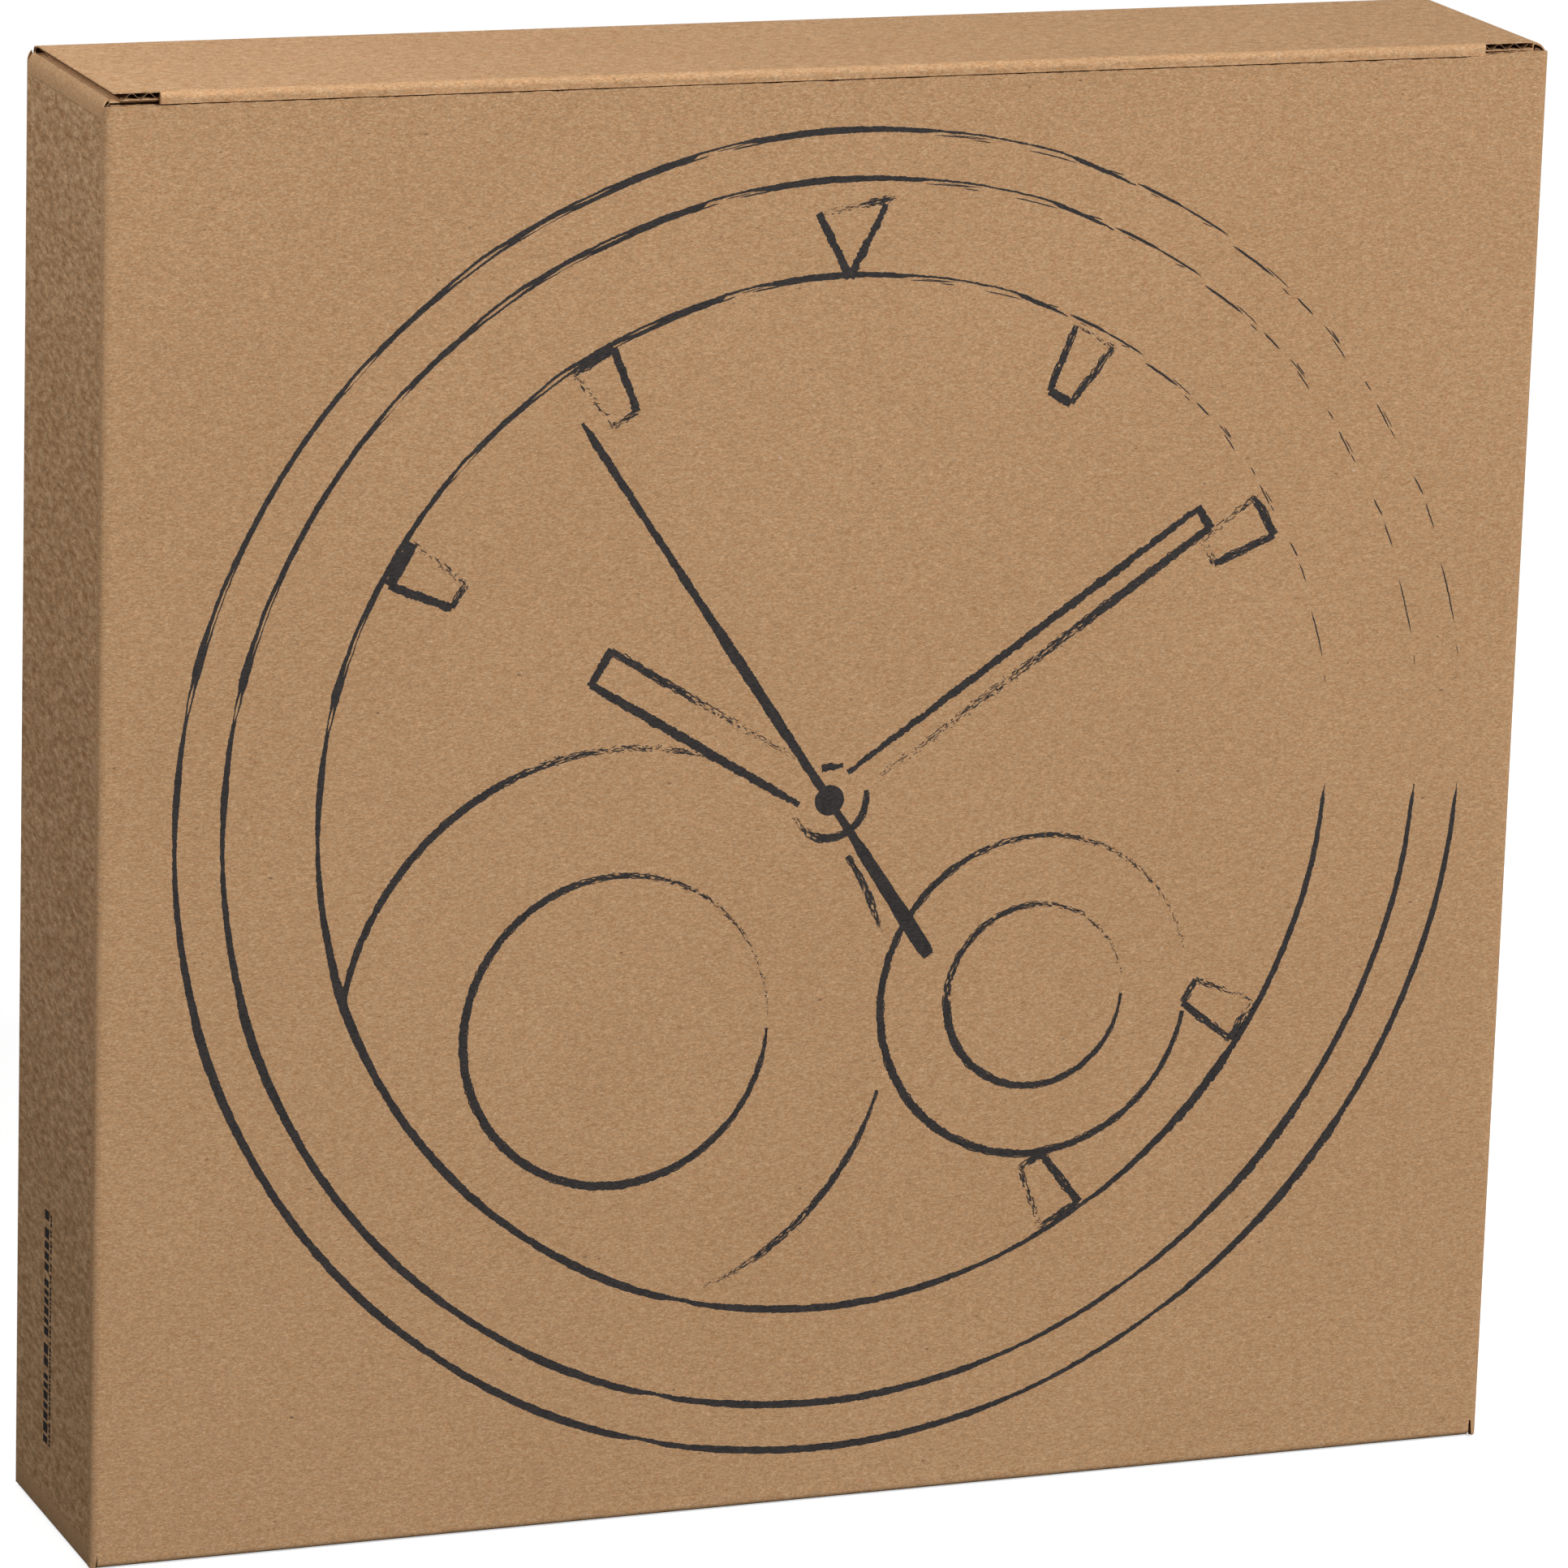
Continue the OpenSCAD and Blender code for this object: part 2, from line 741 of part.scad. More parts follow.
// The wheel, tube and pinion that carry the minute hand.
module minute_train() color(PALE) in_clock() {
    gear(64, centre_m, -7.4, -6.4, 2.8125, second_arbor_r + bore_gap);
    gear(12, motion_m, -5.7, -4.2, 180, second_arbor_r + bore_gap);
    ring(-7, minute_z + 0.9, minute_tube_r, second_arbor_r + bore_gap);
}

// The wheel, arbor and pinion that carry the second hand.
module second_train() color(PALE) in_clock() {
    gear(40, second_m, -11.4, -10.5, 94.5, 0);
    gear(8, third_m, -9.7, -8.3, 0, 0);
    translate([0, 0, -15.9])
        cylinder(h = 15.9 + second_z + 0.5, r = second_arbor_r, $fn = 48);
}

module third_wheel() color(PALE) in_clock()
    translate([third_at[0], third_at[1], 0]) {
        gear(60, third_m, -9.4, -8.5, 183, 0);
        gear(8, centre_m, -7.7, -6.1, 180, 0);
        arbor(-15.9, -1.6);
    }

// The motion wheel turns on a post of the case and carries the pinion of the hour wheel.
module motion_wheel() color(PALE) in_clock()
    translate([motion_at[0], motion_at[1], 0]) {
        gear(36, motion_m, -5.4, -4.5, 5, arbor_r + bore_gap);
        gear(10, hour_m, -4.6, -2.7, 0, arbor_r + bore_gap);
    }

// The knob that turns the hands from behind, with its pinion on the same stem.
module set_knob() color(PALE) in_clock()
    translate([knob_at[0], knob_at[1], 0]) {
        translate([0, 0, -18])
            linear_extrude(1.5)
                difference() {
                    circle(r = 5);
                    for (i = [0:15])
                        rotate([0, 0, i * 22.5])
                            translate([5.1, 0])
                                circle(r = 0.45, $fn = 16);
                }
        translate([0, 0, -17])
            cylinder(h = 11, r = 1.5, $fn = 48);
        gear(12, motion_m, -6.1, -4.3, 60, 0);
        arbor(-6, -1.6);
    }

module intermediate_wheel() color(PALE) in_clock()
    translate([middle_at[0], middle_at[1], 0]) {
        gear(36, rotor_m, -13.4, -12.6, 5, 0);
        gear(8, second_m, -12.7, -10.35, 270, 0);
        arbor(-15.9, -9.7);
    }

// The stepping motor's rotor: a disc magnet and a pinion on one arbor.
module motor_rotor() color(STEEL) in_clock()
    translate([rotor_at[0], rotor_at[1], 0]) {
        gear(6, rotor_m, -13.5, -12.4, 180, 0);
        ring(-12.45, -11.5, 2.6, 0);
        arbor(-15.9, -9.7);
    }

// The motor's iron: a plate round the rotor, and the core of the winding.
module motor_stator() color(STEEL) in_clock()
    difference() {
        translate([0, 0, stator_z])
            linear_extrude(plate)
                difference() {
                    union() {
                        translate([2.6, 5.6]) square([8.4, 14.8]);
                        translate([-15.4, 17.2]) square([18.4, 3.2]);
                    }
                    translate(rotor_at) circle(r = 3);
                }
        pin_holes(stator_posts, stator_z);
    }

// The winding and its two end cheeks, round the stator's core.
module motor_coil() color(BRASS) in_clock()
    difference() {
        translate([-12.6, 18.8, stator_z + plate / 2])
            rotate([0, 90, 0]) {
                cylinder(h = 13, r = 1.5);
                for (x = [0, 12.4])
                    translate([0, 0, x])
                        cylinder(h = 0.6, r = 1.65);
            }
        translate([-13, 17.2, stator_z])
            cube([14, 3.2, plate]);
    }

// An AA cell in its bay.
module battery() color(STEEL) in_clock()
    translate([0, 29.4, -9.6]) {
        translate([-24.6, 0, 0])
            rotate([0, 90, 0])
                cylinder(h = 48, r = 7);
        translate([23.4, 0, 0])
            rotate([0, 90, 0])
                cylinder(h = 1.6, r = 2.7);
    }

// The spring strips at the two ends of the cell.
module battery_contacts() color(BRASS) in_clock()
    translate([0, 29.4, -9.6]) {
        translate([-26.7, -5.5, -5])
            cube([0.4, 11, 10]);
        translate([-26.4, 0, 0])
            rotate([0, 90, 0])
                cylinder(h = 1.75, r = 3, $fn = 48);
        translate([25.05, -5.5, -5])
            cube([0.4, 11, 10]);
        translate([25.4, -1.5, -1.5])
            cube([1.35, 3, 3]);
    }

// The printed circuit with its quartz crystal can.
module circuit_board() color([0.15, 0.35, 0.2]) in_clock()
    difference() {
        union() {
            translate([-26.6, -15, board_z])
                cube([8, 30, 1]);
            translate([-22.6, -8, board_z + 2.2])
                rotate([-90, 0, 0])
                    cylinder(h = 6.2, r = 1.3, $fn = 32);
        }
        pin_holes(board_posts, board_z);
    }

module hub_washer() color(STEEL) in_clock() ring(dial_thick + 0.05, dial_thick + 0.55, 8, 3.95);

module hub_nut() color(STEEL) in_clock()
    translate([0, 0, dial_thick + 0.6])
        difference() {
            cylinder(h = 1.8, r = 6.6, $fn = 6);
            translate([0, 0, -1])
                cylinder(h = 4, r = 3.95);
        }

front_panel();
back_panel();
left_panel();
right_panel();
glue_flap();
top_panel();
top_tuck_flap();
top_dust_flap_left();
top_dust_flap_right();
bottom_panel();
bottom_tuck_flap();
bottom_dust_flap_left();
bottom_dust_flap_right();
front_pad();
rear_pad();
corner_buffer_top_left();
corner_buffer_top_right();
corner_buffer_bottom_left();
corner_buffer_bottom_right();
case_rim();
glass();
glass_gasket();
chapter_ring();
dial_plate();
spacer_ring();
back_cover();
wall_hanger();
case_screws();
hour_markers();
thermometer_ring();
thermometer_cup();
thermometer_face();
thermometer_coil();
thermometer_pointer();
hygrometer_ring();
hygrometer_cup();
hygrometer_face();
hygrometer_coil();
hygrometer_pointer();
hour_hand();
minute_hand();
second_hand();
hub_nut();
hub_washer();
movement_case();
movement_back();
gear_bridge();
hour_wheel();
minute_train();
second_train();
third_wheel();
motion_wheel();
set_knob();
intermediate_wheel();
motor_rotor();
motor_stator();
motor_coil();
battery();
battery_contacts();
circuit_board();
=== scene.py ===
import json
import math
import random
import bmesh
import bpy
from mathutils import Matrix, Vector, noise


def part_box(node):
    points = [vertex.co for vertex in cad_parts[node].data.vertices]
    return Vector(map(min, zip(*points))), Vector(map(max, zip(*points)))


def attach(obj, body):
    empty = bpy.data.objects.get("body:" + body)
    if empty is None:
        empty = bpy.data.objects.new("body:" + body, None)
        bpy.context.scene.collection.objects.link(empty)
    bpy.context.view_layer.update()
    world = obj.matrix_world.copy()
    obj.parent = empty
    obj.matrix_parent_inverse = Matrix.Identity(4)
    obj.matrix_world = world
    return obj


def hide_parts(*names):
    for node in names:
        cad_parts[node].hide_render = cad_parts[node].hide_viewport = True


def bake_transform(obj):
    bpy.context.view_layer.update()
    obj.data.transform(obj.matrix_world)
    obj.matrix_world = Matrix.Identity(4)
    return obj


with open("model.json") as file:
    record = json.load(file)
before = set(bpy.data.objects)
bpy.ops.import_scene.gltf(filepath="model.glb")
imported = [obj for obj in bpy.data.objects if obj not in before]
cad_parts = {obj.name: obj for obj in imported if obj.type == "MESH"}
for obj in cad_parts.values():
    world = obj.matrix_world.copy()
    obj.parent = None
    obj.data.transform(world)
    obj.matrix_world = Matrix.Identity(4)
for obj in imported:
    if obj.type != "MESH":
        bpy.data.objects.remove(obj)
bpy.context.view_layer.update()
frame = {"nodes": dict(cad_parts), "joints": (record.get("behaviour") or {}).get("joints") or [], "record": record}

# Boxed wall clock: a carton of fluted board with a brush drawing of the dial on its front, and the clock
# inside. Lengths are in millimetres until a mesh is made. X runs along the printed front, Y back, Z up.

MM = 0.001


# ---- what the frame says ----

def box_mm(node):
    """The lowest and highest corners of a CAD node."""
    low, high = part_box(node)
    return low / MM, high / MM


def axis_mm(joint):
    """A point on a joint's axis."""
    found = [j for j in frame["joints"] if j["name"] == joint][0]
    return Vector(found["pos_m"]) / MM


front_low, front_high = box_mm("front_panel")
left_low, left_high = box_mm("left_panel")
HALF_W = front_high.x
HALF_D = -front_low.y
HEIGHT = box_mm("top_panel")[1].z
BOARD = front_high.y - front_low.y
WALL_LOW, WALL_HIGH = front_low.z, front_high.z
HINGE = axis_mm("top_closure_fold")
TUCK = axis_mm("top_tuck_fold")
DUST = axis_mm("top_dust_left_fold")

SKIN = 0.05              # how far the board's printed face lies inside the CAD face, to leave room for ink
LINER = 0.26             # thickness of a liner sheet
MEDIUM = 0.17            # thickness of the fluted sheet
FLUTE = 3.6              # length of one flute
FLUTE_STEPS = 10         # columns of faces in one flute
WALL_TOP = WALL_HIGH + 1.0   # the cut top edge, which a tuck roll rests on
SOFT_R = 3.4             # outer radius of the fold at the top of a side wall
TIGHT_R = 0.9            # and at its base
# The outline of a side wall's fold at each end: its radius, and its gap to the carton's end
TOP_ARC, BASE_ARC = (SOFT_R, 0.4), (TIGHT_R, 0.1)


# ---- meshes ----

class Shape:
    """Points and faces of a piece while it is being made."""

    def __init__(self):
        self.points = []
        self.faces = []
        self.core = set()        # faces of the fluted sheet

    def shell(self, upper, lower):
        """Closes the space between two grids of points of the same size."""
        rows, columns = len(upper), len(upper[0])
        start = len(self.points)
        half = rows * columns
        self.points += [p for row in upper for p in row] + [p for row in lower for p in row]

        def at(side, i, j):
            return start + side * half + i * columns + j

        for i in range(rows - 1):
            for j in range(columns - 1):
                self.faces.append((at(0, i, j), at(0, i + 1, j), at(0, i + 1, j + 1), at(0, i, j + 1)))
                self.faces.append((at(1, i, j), at(1, i, j + 1), at(1, i + 1, j + 1), at(1, i + 1, j)))
        for i in range(rows - 1):
            for j in (0, columns - 1):
                self.faces.append((at(0, i, j), at(1, i, j), at(1, i + 1, j), at(0, i + 1, j)))
        for j in range(columns - 1):
            for i in (0, rows - 1):
                self.faces.append((at(0, i, j), at(0, i, j + 1), at(1, i, j + 1), at(1, i, j)))

    def prism(self, outline, depth):
        """A flat outline, thickened by the vector depth."""
        start, n = len(self.points), len(outline)
        self.points += list(outline) + [p + depth for p in outline]
        self.faces.append(tuple(range(start, start + n)))
        self.faces.append(tuple(range(start + 2 * n - 1, start + n - 1, -1)))
        for i in range(n):
            j = (i + 1) % n
            self.faces.append((start + i, start + j, start + n + j, start + n + i))


def make_piece(name, shape, paint, body=None, move=None, replaces=(), crease=35):
    """A finished object from a shape: normals outwards, and faces smooth except past the crease angle."""
    mesh = bpy.data.meshes.new(name)
    place = move or Matrix.Identity(4)
    mesh.from_pydata([(place @ Vector(p)) * MM for p in shape.points], [], shape.faces)
    mesh.materials.append(paint)
    if shape.core:
        mesh.materials.append(MEDIUM_PAPER)
        for polygon in mesh.polygons:
            polygon.material_index = int(polygon.index in shape.core)
    bm = bmesh.new()
    bm.from_mesh(mesh)
    bmesh.ops.recalc_face_normals(bm, faces=bm.faces)
    limit = math.radians(crease)
    for face in bm.faces:
        face.smooth = True
    for edge in bm.edges:
        edge.smooth = len(edge.link_faces) == 2 and edge.calc_face_angle() < limit
    bm.to_mesh(mesh)
    bm.free()
    piece = bpy.data.objects.new(name, mesh)
    bpy.context.scene.collection.objects.link(piece)
    if replaces:
        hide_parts(*replaces)
    if body:
        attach(piece, body)
    return piece


# The bottom end of the carton is the top one after half a turn about X, and the right is the left mirrored.
OTHER_END = (Matrix.Translation((0, 0, HEIGHT)) @ Matrix.Rotation(math.pi, 4, "X"))
MIRROR = Matrix.Diagonal((-1, 1, 1, 1))


def spread(start, end, step):
    """Evenly spaced numbers from start to end, about a step apart."""
    count = max(1, round(abs(end - start) / step))
    return [start + (end - start) * i / count for i in range(count + 1)]


def span_of(node, frame_of, s):
    """Where the slab of a CAD node begins and ends along its second axis, at s on its first."""
    hits = []
    for a, b in node_edges(node, frame_of):
        if (a.x - s) * (b.x - s) <= 0 and a.x != b.x:
            hits.append(a.y + (b.y - a.y) * (s - a.x) / (b.x - a.x))
    return min(hits), max(hits)


edge_store = {}


def node_edges(node, frame_of):
    """The edges of a CAD node, in a board's own axes."""
    key = (node, tuple(v for row in frame_of for v in row))
    if key not in edge_store:
        mesh = frame["nodes"][node].data
        back = frame_of.inverted()
        points = [back @ (v.co / MM) for v in mesh.vertices]
        edge_store[key] = [(points[e.vertices[0]], points[e.vertices[1]]) for e in mesh.edges]
    return edge_store[key]


def board(place, s_values, span, t_steps=1, shape=None, retreat=0.0):
    """Fluted board: two liners and a wave between them. place(s, t, n) gives a point, where s runs across
    the flutes, t along them and n from the inner face to the outer one. span(s) gives the ends of t. The
    sheets under the outer liner start a retreat later along s."""
    shape = shape or Shape()
    first = s_values[0] + retreat
    under = [first] + [s for s in s_values if s > first + 0.01]

    def grid(values, depth):
        rows = []
        for s in values:
            low, high = span(s)
            rows.append([place(s, low + (high - low) * j / t_steps, depth(s)) for j in range(t_steps + 1)])
        return rows

    def wave(s):
        room = (BOARD - SKIN) / 2
        return room + (room - LINER) * math.sin(math.tau * s / FLUTE)

    fine = spread(first, s_values[-1], FLUTE / FLUTE_STEPS)
    shape.shell(grid(s_values, lambda s: BOARD - SKIN), grid(s_values, lambda s: BOARD - SKIN - LINER))
    shape.shell(grid(under, lambda s: LINER), grid(under, lambda s: 0))
    start = len(shape.faces)
    shape.shell(grid(fine, lambda s: wave(s) + MEDIUM / 2), grid(fine, lambda s: wave(s) - MEDIUM / 2))
    shape.core.update(range(start, len(shape.faces)))
    return shape


def flat(origin, along_s, along_t, outward):
    """A place function for a flat board, and its axes as a matrix."""
    axes = Matrix((along_s, along_t, outward)).transposed().to_4x4()
    axes.translation = origin

    def place(s, t, n):
        return axes @ Vector((s, t, n))

    return place, axes


# ---- materials ----

class Paint:
    """A material's nodes, made a few at a time."""

    def __init__(self, name):
        self.material = bpy.data.materials.new(name)
        self.material.use_nodes = True
        self.tree = self.material.node_tree
        self.shader = self.tree.nodes["Principled BSDF"]
        self.place = self.tree.nodes.new("ShaderNodeTexCoord").outputs["Object"]

    def node(self, kind, inputs=(), **settings):
        made = self.tree.nodes.new(kind)
        for key, value in settings.items():
            setattr(made, key, value)
        for key, value in dict(inputs).items():
            self.put(made.inputs[key], value)
        return made

    def put(self, socket, value):
        if isinstance(value, bpy.types.NodeSocket):
            self.tree.links.new(value, socket)
        else:
            socket.default_value = value

    def stretched(self, scale):
        return self.node("ShaderNodeMapping", {"Vector": self.place, "Scale": scale}).outputs["Vector"]

    def noise(self, scale, detail=2.0, rough=0.5, stretch=(1, 1, 1)):
        """Noise whose features are about 1/scale metres across, divided by stretch along each axis."""
        made = self.node("ShaderNodeTexNoise", {
            "Vector": self.stretched(stretch), "Scale": scale, "Detail": detail, "Roughness": rough})
        return made.outputs["Fac"]

    def ramp(self, value, *stops):
        """A colour ramp through stops of (place, colour)."""
        made = self.node("ShaderNodeValToRGB", {"Fac": value})
        band = made.color_ramp
        while len(band.elements) < len(stops):
            band.elements.new(0.5)
        for element, (at, colour) in zip(band.elements, stops):
            element.position = at
            element.color = (*colour, 1.0)
        return made.outputs["Color"]

    def level(self, value, low, high, to_low=0.0, to_high=1.0):
        made = self.node("ShaderNodeMapRange", {
            "Value": value, "From Min": low, "From Max": high, "To Min": to_low, "To Max": to_high})
        return made.outputs["Result"]

    def mix(self, amount, first, second, mode="MIX"):
        made = self.node("ShaderNodeMix", data_type="RGBA", blend_type=mode)
        colours = [s for s in made.inputs if s.type == "RGBA"]
        self.put(made.inputs["Factor"], amount)
        self.put(colours[0], first)
        self.put(colours[1], second)
        return [s for s in made.outputs if s.type == "RGBA"][0]

    def math(self, operation, first, second=0.0):
        made = self.node("ShaderNodeMath", operation=operation)
        self.put(made.inputs[0], first)
        self.put(made.inputs[1], second)
        return made.outputs["Value"]

    def bump(self, height, strength, distance, under=None):
        made = self.node("ShaderNodeBump", {"Height": height, "Strength": strength, "Distance": distance})
        if under is not None:
            self.put(made.inputs["Normal"], under)
        return made.outputs["Normal"]

    def finish(self, colour, roughness, normal=None, **fixed):
        self.put(self.shader.inputs["Base Color"], colour)
        self.put(self.shader.inputs["Roughness"], roughness)
        if normal is not None:
            self.put(self.shader.inputs["Normal"], normal)
        for key, value in fixed.items():
            self.shader.inputs[key.replace("_", " ")].default_value = value
        return self.material


def shade(colour, factor):
    return tuple(c * factor for c in colour)


KRAFT = (0.535, 0.316, 0.160)
KRAFT_RED = (0.535, 0.300, 0.146)
KRAFT_GREY = (0.520, 0.320, 0.172)
BARK = (0.19, 0.105, 0.055)
BLEACHED = (0.68, 0.50, 0.35)


def tint(p, colour, value, depth, low=0.3):
    """Lightens and darkens a colour by depth, where value runs from low to as far above the middle."""
    dark = tuple(1 - depth * k for k in (1.0, 1.25, 1.6))
    light = tuple(1 + depth * k for k in (1.0, 1.25, 1.6))
    return p.mix(1.0, colour, p.ramp(value, (low, dark), (1 - low, light)), "MULTIPLY")


def kraft(name, grain, flutes=None, tone=1.0, coarse=0.06):
    """Brown liner paper. grain is larger along the axes across the fibres; flutes is the axis index along
    which the washboard of the flutes is felt, and coarse the depth of the cloudier fibre."""
    p = Paint(name)
    mottle = p.noise(1300.0, 3.0, 0.66, grain)
    fibre = p.noise(3300.0, 2.0, 0.6, grain)
    hues = ((0.38, KRAFT_RED), (0.5, KRAFT), (0.64, KRAFT_GREY))
    colour = p.ramp(p.noise(520.0, 2.0, 0.6, grain), *[(at, shade(hue, tone)) for at, hue in hues])
    for value, depth in ((p.noise(22.0, 3.0), 0.02), (p.noise(240.0, 2.0, 0.55, grain), 0.03),
                         (p.noise(480.0, 2.0, 0.7, grain), coarse)):
        colour = tint(p, colour, value, depth)
    colour = tint(p, tint(p, colour, mottle, 0.24, 0.28), fibre, 0.30, 0.25)
    colour = p.mix(specks(p, 620.0, grain, 0.022), colour, (*BARK, 1.0))
    colour = p.mix(specks(p, 700.0, grain, 0.010, 7.3), colour, (*BLEACHED, 1.0))
    height = p.math("ADD", p.math("MULTIPLY", fibre, 0.5), mottle)
    normal = p.bump(height, 0.30, 0.00010)
    if flutes is not None:
        axis = p.node("ShaderNodeSeparateXYZ", {"Vector": p.place}).outputs[flutes]
        wave = p.math("SINE", p.math("MULTIPLY", axis, math.tau / (FLUTE * MM)))
        normal = p.bump(wave, 0.08, 0.00004, normal)
    return p.finish(colour, p.level(fibre, 0.3, 0.7, 0.78, 0.92), normal, Specular_IOR_Level=0.30)


def specks(p, scale, grain, share, offset=0.0):
    """Sparse flecks of bark or bleached fibre: above 0 inside a fleck. share is how many cells hold one."""
    shifted = p.node("ShaderNodeMapping", {
        "Vector": p.place, "Location": (offset, offset, offset),
        "Scale": tuple(0.6 + 0.4 * g for g in grain)})
    cells = p.node("ShaderNodeTexVoronoi", {"Vector": shifted.outputs["Vector"], "Scale": scale},
                   feature="F1", voronoi_dimensions="3D")
    chosen = p.node("ShaderNodeSeparateColor", {"Color": cells.outputs["Color"]}).outputs["Red"]
    size = p.level(chosen, 0.0, share, 0.36, 0.0)
    near = p.level(p.math("SUBTRACT", size, cells.outputs["Distance"]), -0.02, 0.10)
    return p.math("MULTIPLY", near, p.level(p.noise(60.0), 0.3, 0.65, 0.15, 0.8))


def raw_medium():
    """The coarser sheet between the liners, darker than them: partly its own colour, partly painted shade of the
    flute channels.
    """
    p = Paint("fluted_medium")
    fibre = p.noise(1500.0, 3.0, 0.7)
    # Both tones sit well below the liners' kraft: partly the sheet's own colour, partly painted shade inside the
    # flutes at a cut edge.
    colour = p.ramp(fibre, (0.3, (0.15, 0.08, 0.04)), (0.7, (0.31, 0.18, 0.10)))
    return p.finish(colour, 0.95, p.bump(fibre, 0.4, 0.0001), Specular_IOR_Level=0.2)


def ink():
    """Flexographic black on kraft: soaked in, with the paper's weave faintly through it."""
    p = Paint("printed_black")
    weave = p.noise(900.0, 2.0, 0.6, (1, 1, 3.5))
    soak = p.noise(300.0, 2.0, 0.6)
    colour = p.ramp(weave, (0.3, (0.022, 0.020, 0.021)), (0.72, (0.062, 0.054, 0.050)))
    soaked = p.ramp(soak, (0.3, (0.85, 0.85, 0.85)), (0.7, (1.15, 1.12, 1.1)))
    colour = p.mix(1.0, colour, soaked, "MULTIPLY")
    return p.finish(colour, 0.8, p.bump(weave, 0.3, 0.0001), Specular_IOR_Level=0.25)


# ---- the carton ----

MEDIUM_PAPER = raw_medium()
WALL_KRAFT = kraft("kraft_wall", (1, 1, 3), 0)
SIDE_KRAFT = kraft("kraft_side", (1, 0.6, 1.6), 1, 1.0, 0.30)
# tone 1.03 is painted light: the closures' board is a shade lighter than the walls' board, as though the top
# catches more light
CLOSURE_KRAFT = kraft("kraft_closure", (1, 1.6, 1), 0, 1.03, 0.14)
DUST_KRAFT = kraft("kraft_dust_flap", (3, 1, 1), 1)
# tone 1.04 is a painted highlight: the hinge folds, dust folds and tuck rolls are lighter than the flat board, as
# though light catches their curve
FOLD_KRAFT = kraft("kraft_fold", (1, 2, 2), None, 1.04)
INK = ink()

ARC_STEPS = 6
CORNER_RUN = 2.0         # length of board in an upright crease
RAG = 0.14               # how far a cut edge strays
EDGE_GAP = 0.4           # what a closure leaves free at each side
RAW_INSET = 0.6          # how far a closure's raw front edge lies behind the slab's
RAW_RAG = 1.6            # how much more than a wall's edge it strays
TUCK_MARGIN = 0.4        # how far the tuck fold runs past the flap at each end
HINGE_R = 1.5            # outer radius of a closure's hinge fold
RETREAT = 1.5            # how far a closure's under sheets are crushed back at its left side
LEG = 2 * BOARD          # how far the fold at the top of a side wall reaches down the wall
WALL_HALF = HALF_W - BOARD
DEEP_HALF = HALF_D - BOARD
X, Y, Z = Vector((1, 0, 0)), Vector((0, 1, 0)), Vector((0, 0, 1))


def ragged(s, seed):
    """How far a cut edge strays at s."""
    return RAG * (noise.noise((s * 0.9, seed * 17.3, 0)) + 0.6 * noise.noise((s * 3.1, seed * 5.1, 4.0)))


def steps_between(edges, step):
    """Places from the first edge to the last, about a step apart, that land on every edge between."""
    out = []
    for a, b in zip(edges, edges[1:]):
        out += spread(a, b, step)[:-1]
    return out + [edges[-1]]


def wide_wall_place(s, t, n):
    """A point of the front wall, whose ends turn round the upright creases."""
    over = abs(s) - WALL_HALF
    side = 1 if s > 0 else -1
    angle = math.radians(90) * min(1.0, max(0.0, over) / CORNER_RUN)
    corner = Vector((side * WALL_HALF if over > 0 else s, -DEEP_HALF, t))
    return corner + n * Vector((side * math.sin(angle), -math.cos(angle), 0))


def bulge(s):
    """How far the right end of a wall's cut edge is pushed up, by the fold beside it."""
    share = min(1.0, max(0.0, (s - 138) / 18))
    return 0.9 * share * share * (3 - 2 * share)


def arc_inset(s, outline):
    """How far from the carton's end an upright crease stops, so that it follows the fold beside it."""
    radius, gap = outline
    across = min(radius, HALF_W - abs(wide_wall_place(s, 0, BOARD - SKIN).x))
    return gap + radius - math.sqrt(radius ** 2 - (radius - across) ** 2)


def wide_wall(name, node, body, move, foot, head, head_limit):
    """A front or back wall, drawn as the front one: hinged to a closure below, cut above. foot and head
    are the outlines of the folds beside its creases."""
    reach = WALL_HALF + CORNER_RUN
    s_values = steps_between([-reach, -WALL_HALF], CORNER_RUN / ARC_STEPS)[:-1]
    s_values += steps_between([-WALL_HALF, WALL_HALF], 1.5)
    s_values += steps_between([WALL_HALF, reach], CORNER_RUN / ARC_STEPS)[1:]

    def span(s):
        if abs(s) > WALL_HALF + 0.01:
            return arc_inset(s, foot), min(head_limit + bulge(s), HEIGHT - arc_inset(s, head))
        return WALL_LOW, WALL_TOP - 0.05 + ragged(s, 1) * 1.2 + bulge(s)

    shape = board(wide_wall_place, s_values, span)
    return make_piece(name, shape, WALL_KRAFT, body, move, [node])


def side_wall(name, nodes, move):
    """A side wall between its two folds, drawn as the left one."""
    place, _ = flat(Vector((-WALL_HALF, 0, 0)), -Y, Z, -X)
    low = left_low.z + LEG
    high = left_high.z - LEG
    shape = board(place, [-DEEP_HALF, DEEP_HALF], lambda s: (low, high))
    return make_piece(name, shape, SIDE_KRAFT, "carton", move, nodes)


def glued_strip():
    """The glued joint, inside the left wall."""
    place, axes = flat(Vector((-WALL_HALF, 0, 0)), Y, Z, X)
    low, high = box_mm("glue_flap")
    shape = board(place, spread(low.y + 0.01, high.y - 0.01, 2), lambda s: span_of("glue_flap", axes, s))
    return make_piece("glued_strip", shape, SIDE_KRAFT, "carton", None, ["glue_flap"])


def lipped_bend(leg, radius, rise, reach):
    """A fold whose lip stands up beside a closure before it turns down to its flap: rise is how far above
    the flap's face it stands, and reach how far in."""
    top = -rise
    outer = [(0, leg)]
    inner = [(BOARD - SKIN, leg)]
    for i in range(ARC_STEPS + 1):
        p = reach * i / ARC_STEPS
        q = top + radius - math.sqrt(radius ** 2 - (radius - min(p, radius)) ** 2)
        outer.append((p, q))
        inner.append((BOARD - SKIN, max(q + 1.0, BOARD - SKIN)))
    outer += [(reach + 0.12, 0.0), (leg, 0.0)]
    inner += [(BOARD + 0.3, BOARD - SKIN), (leg, BOARD - SKIN)]
    return inner, outer


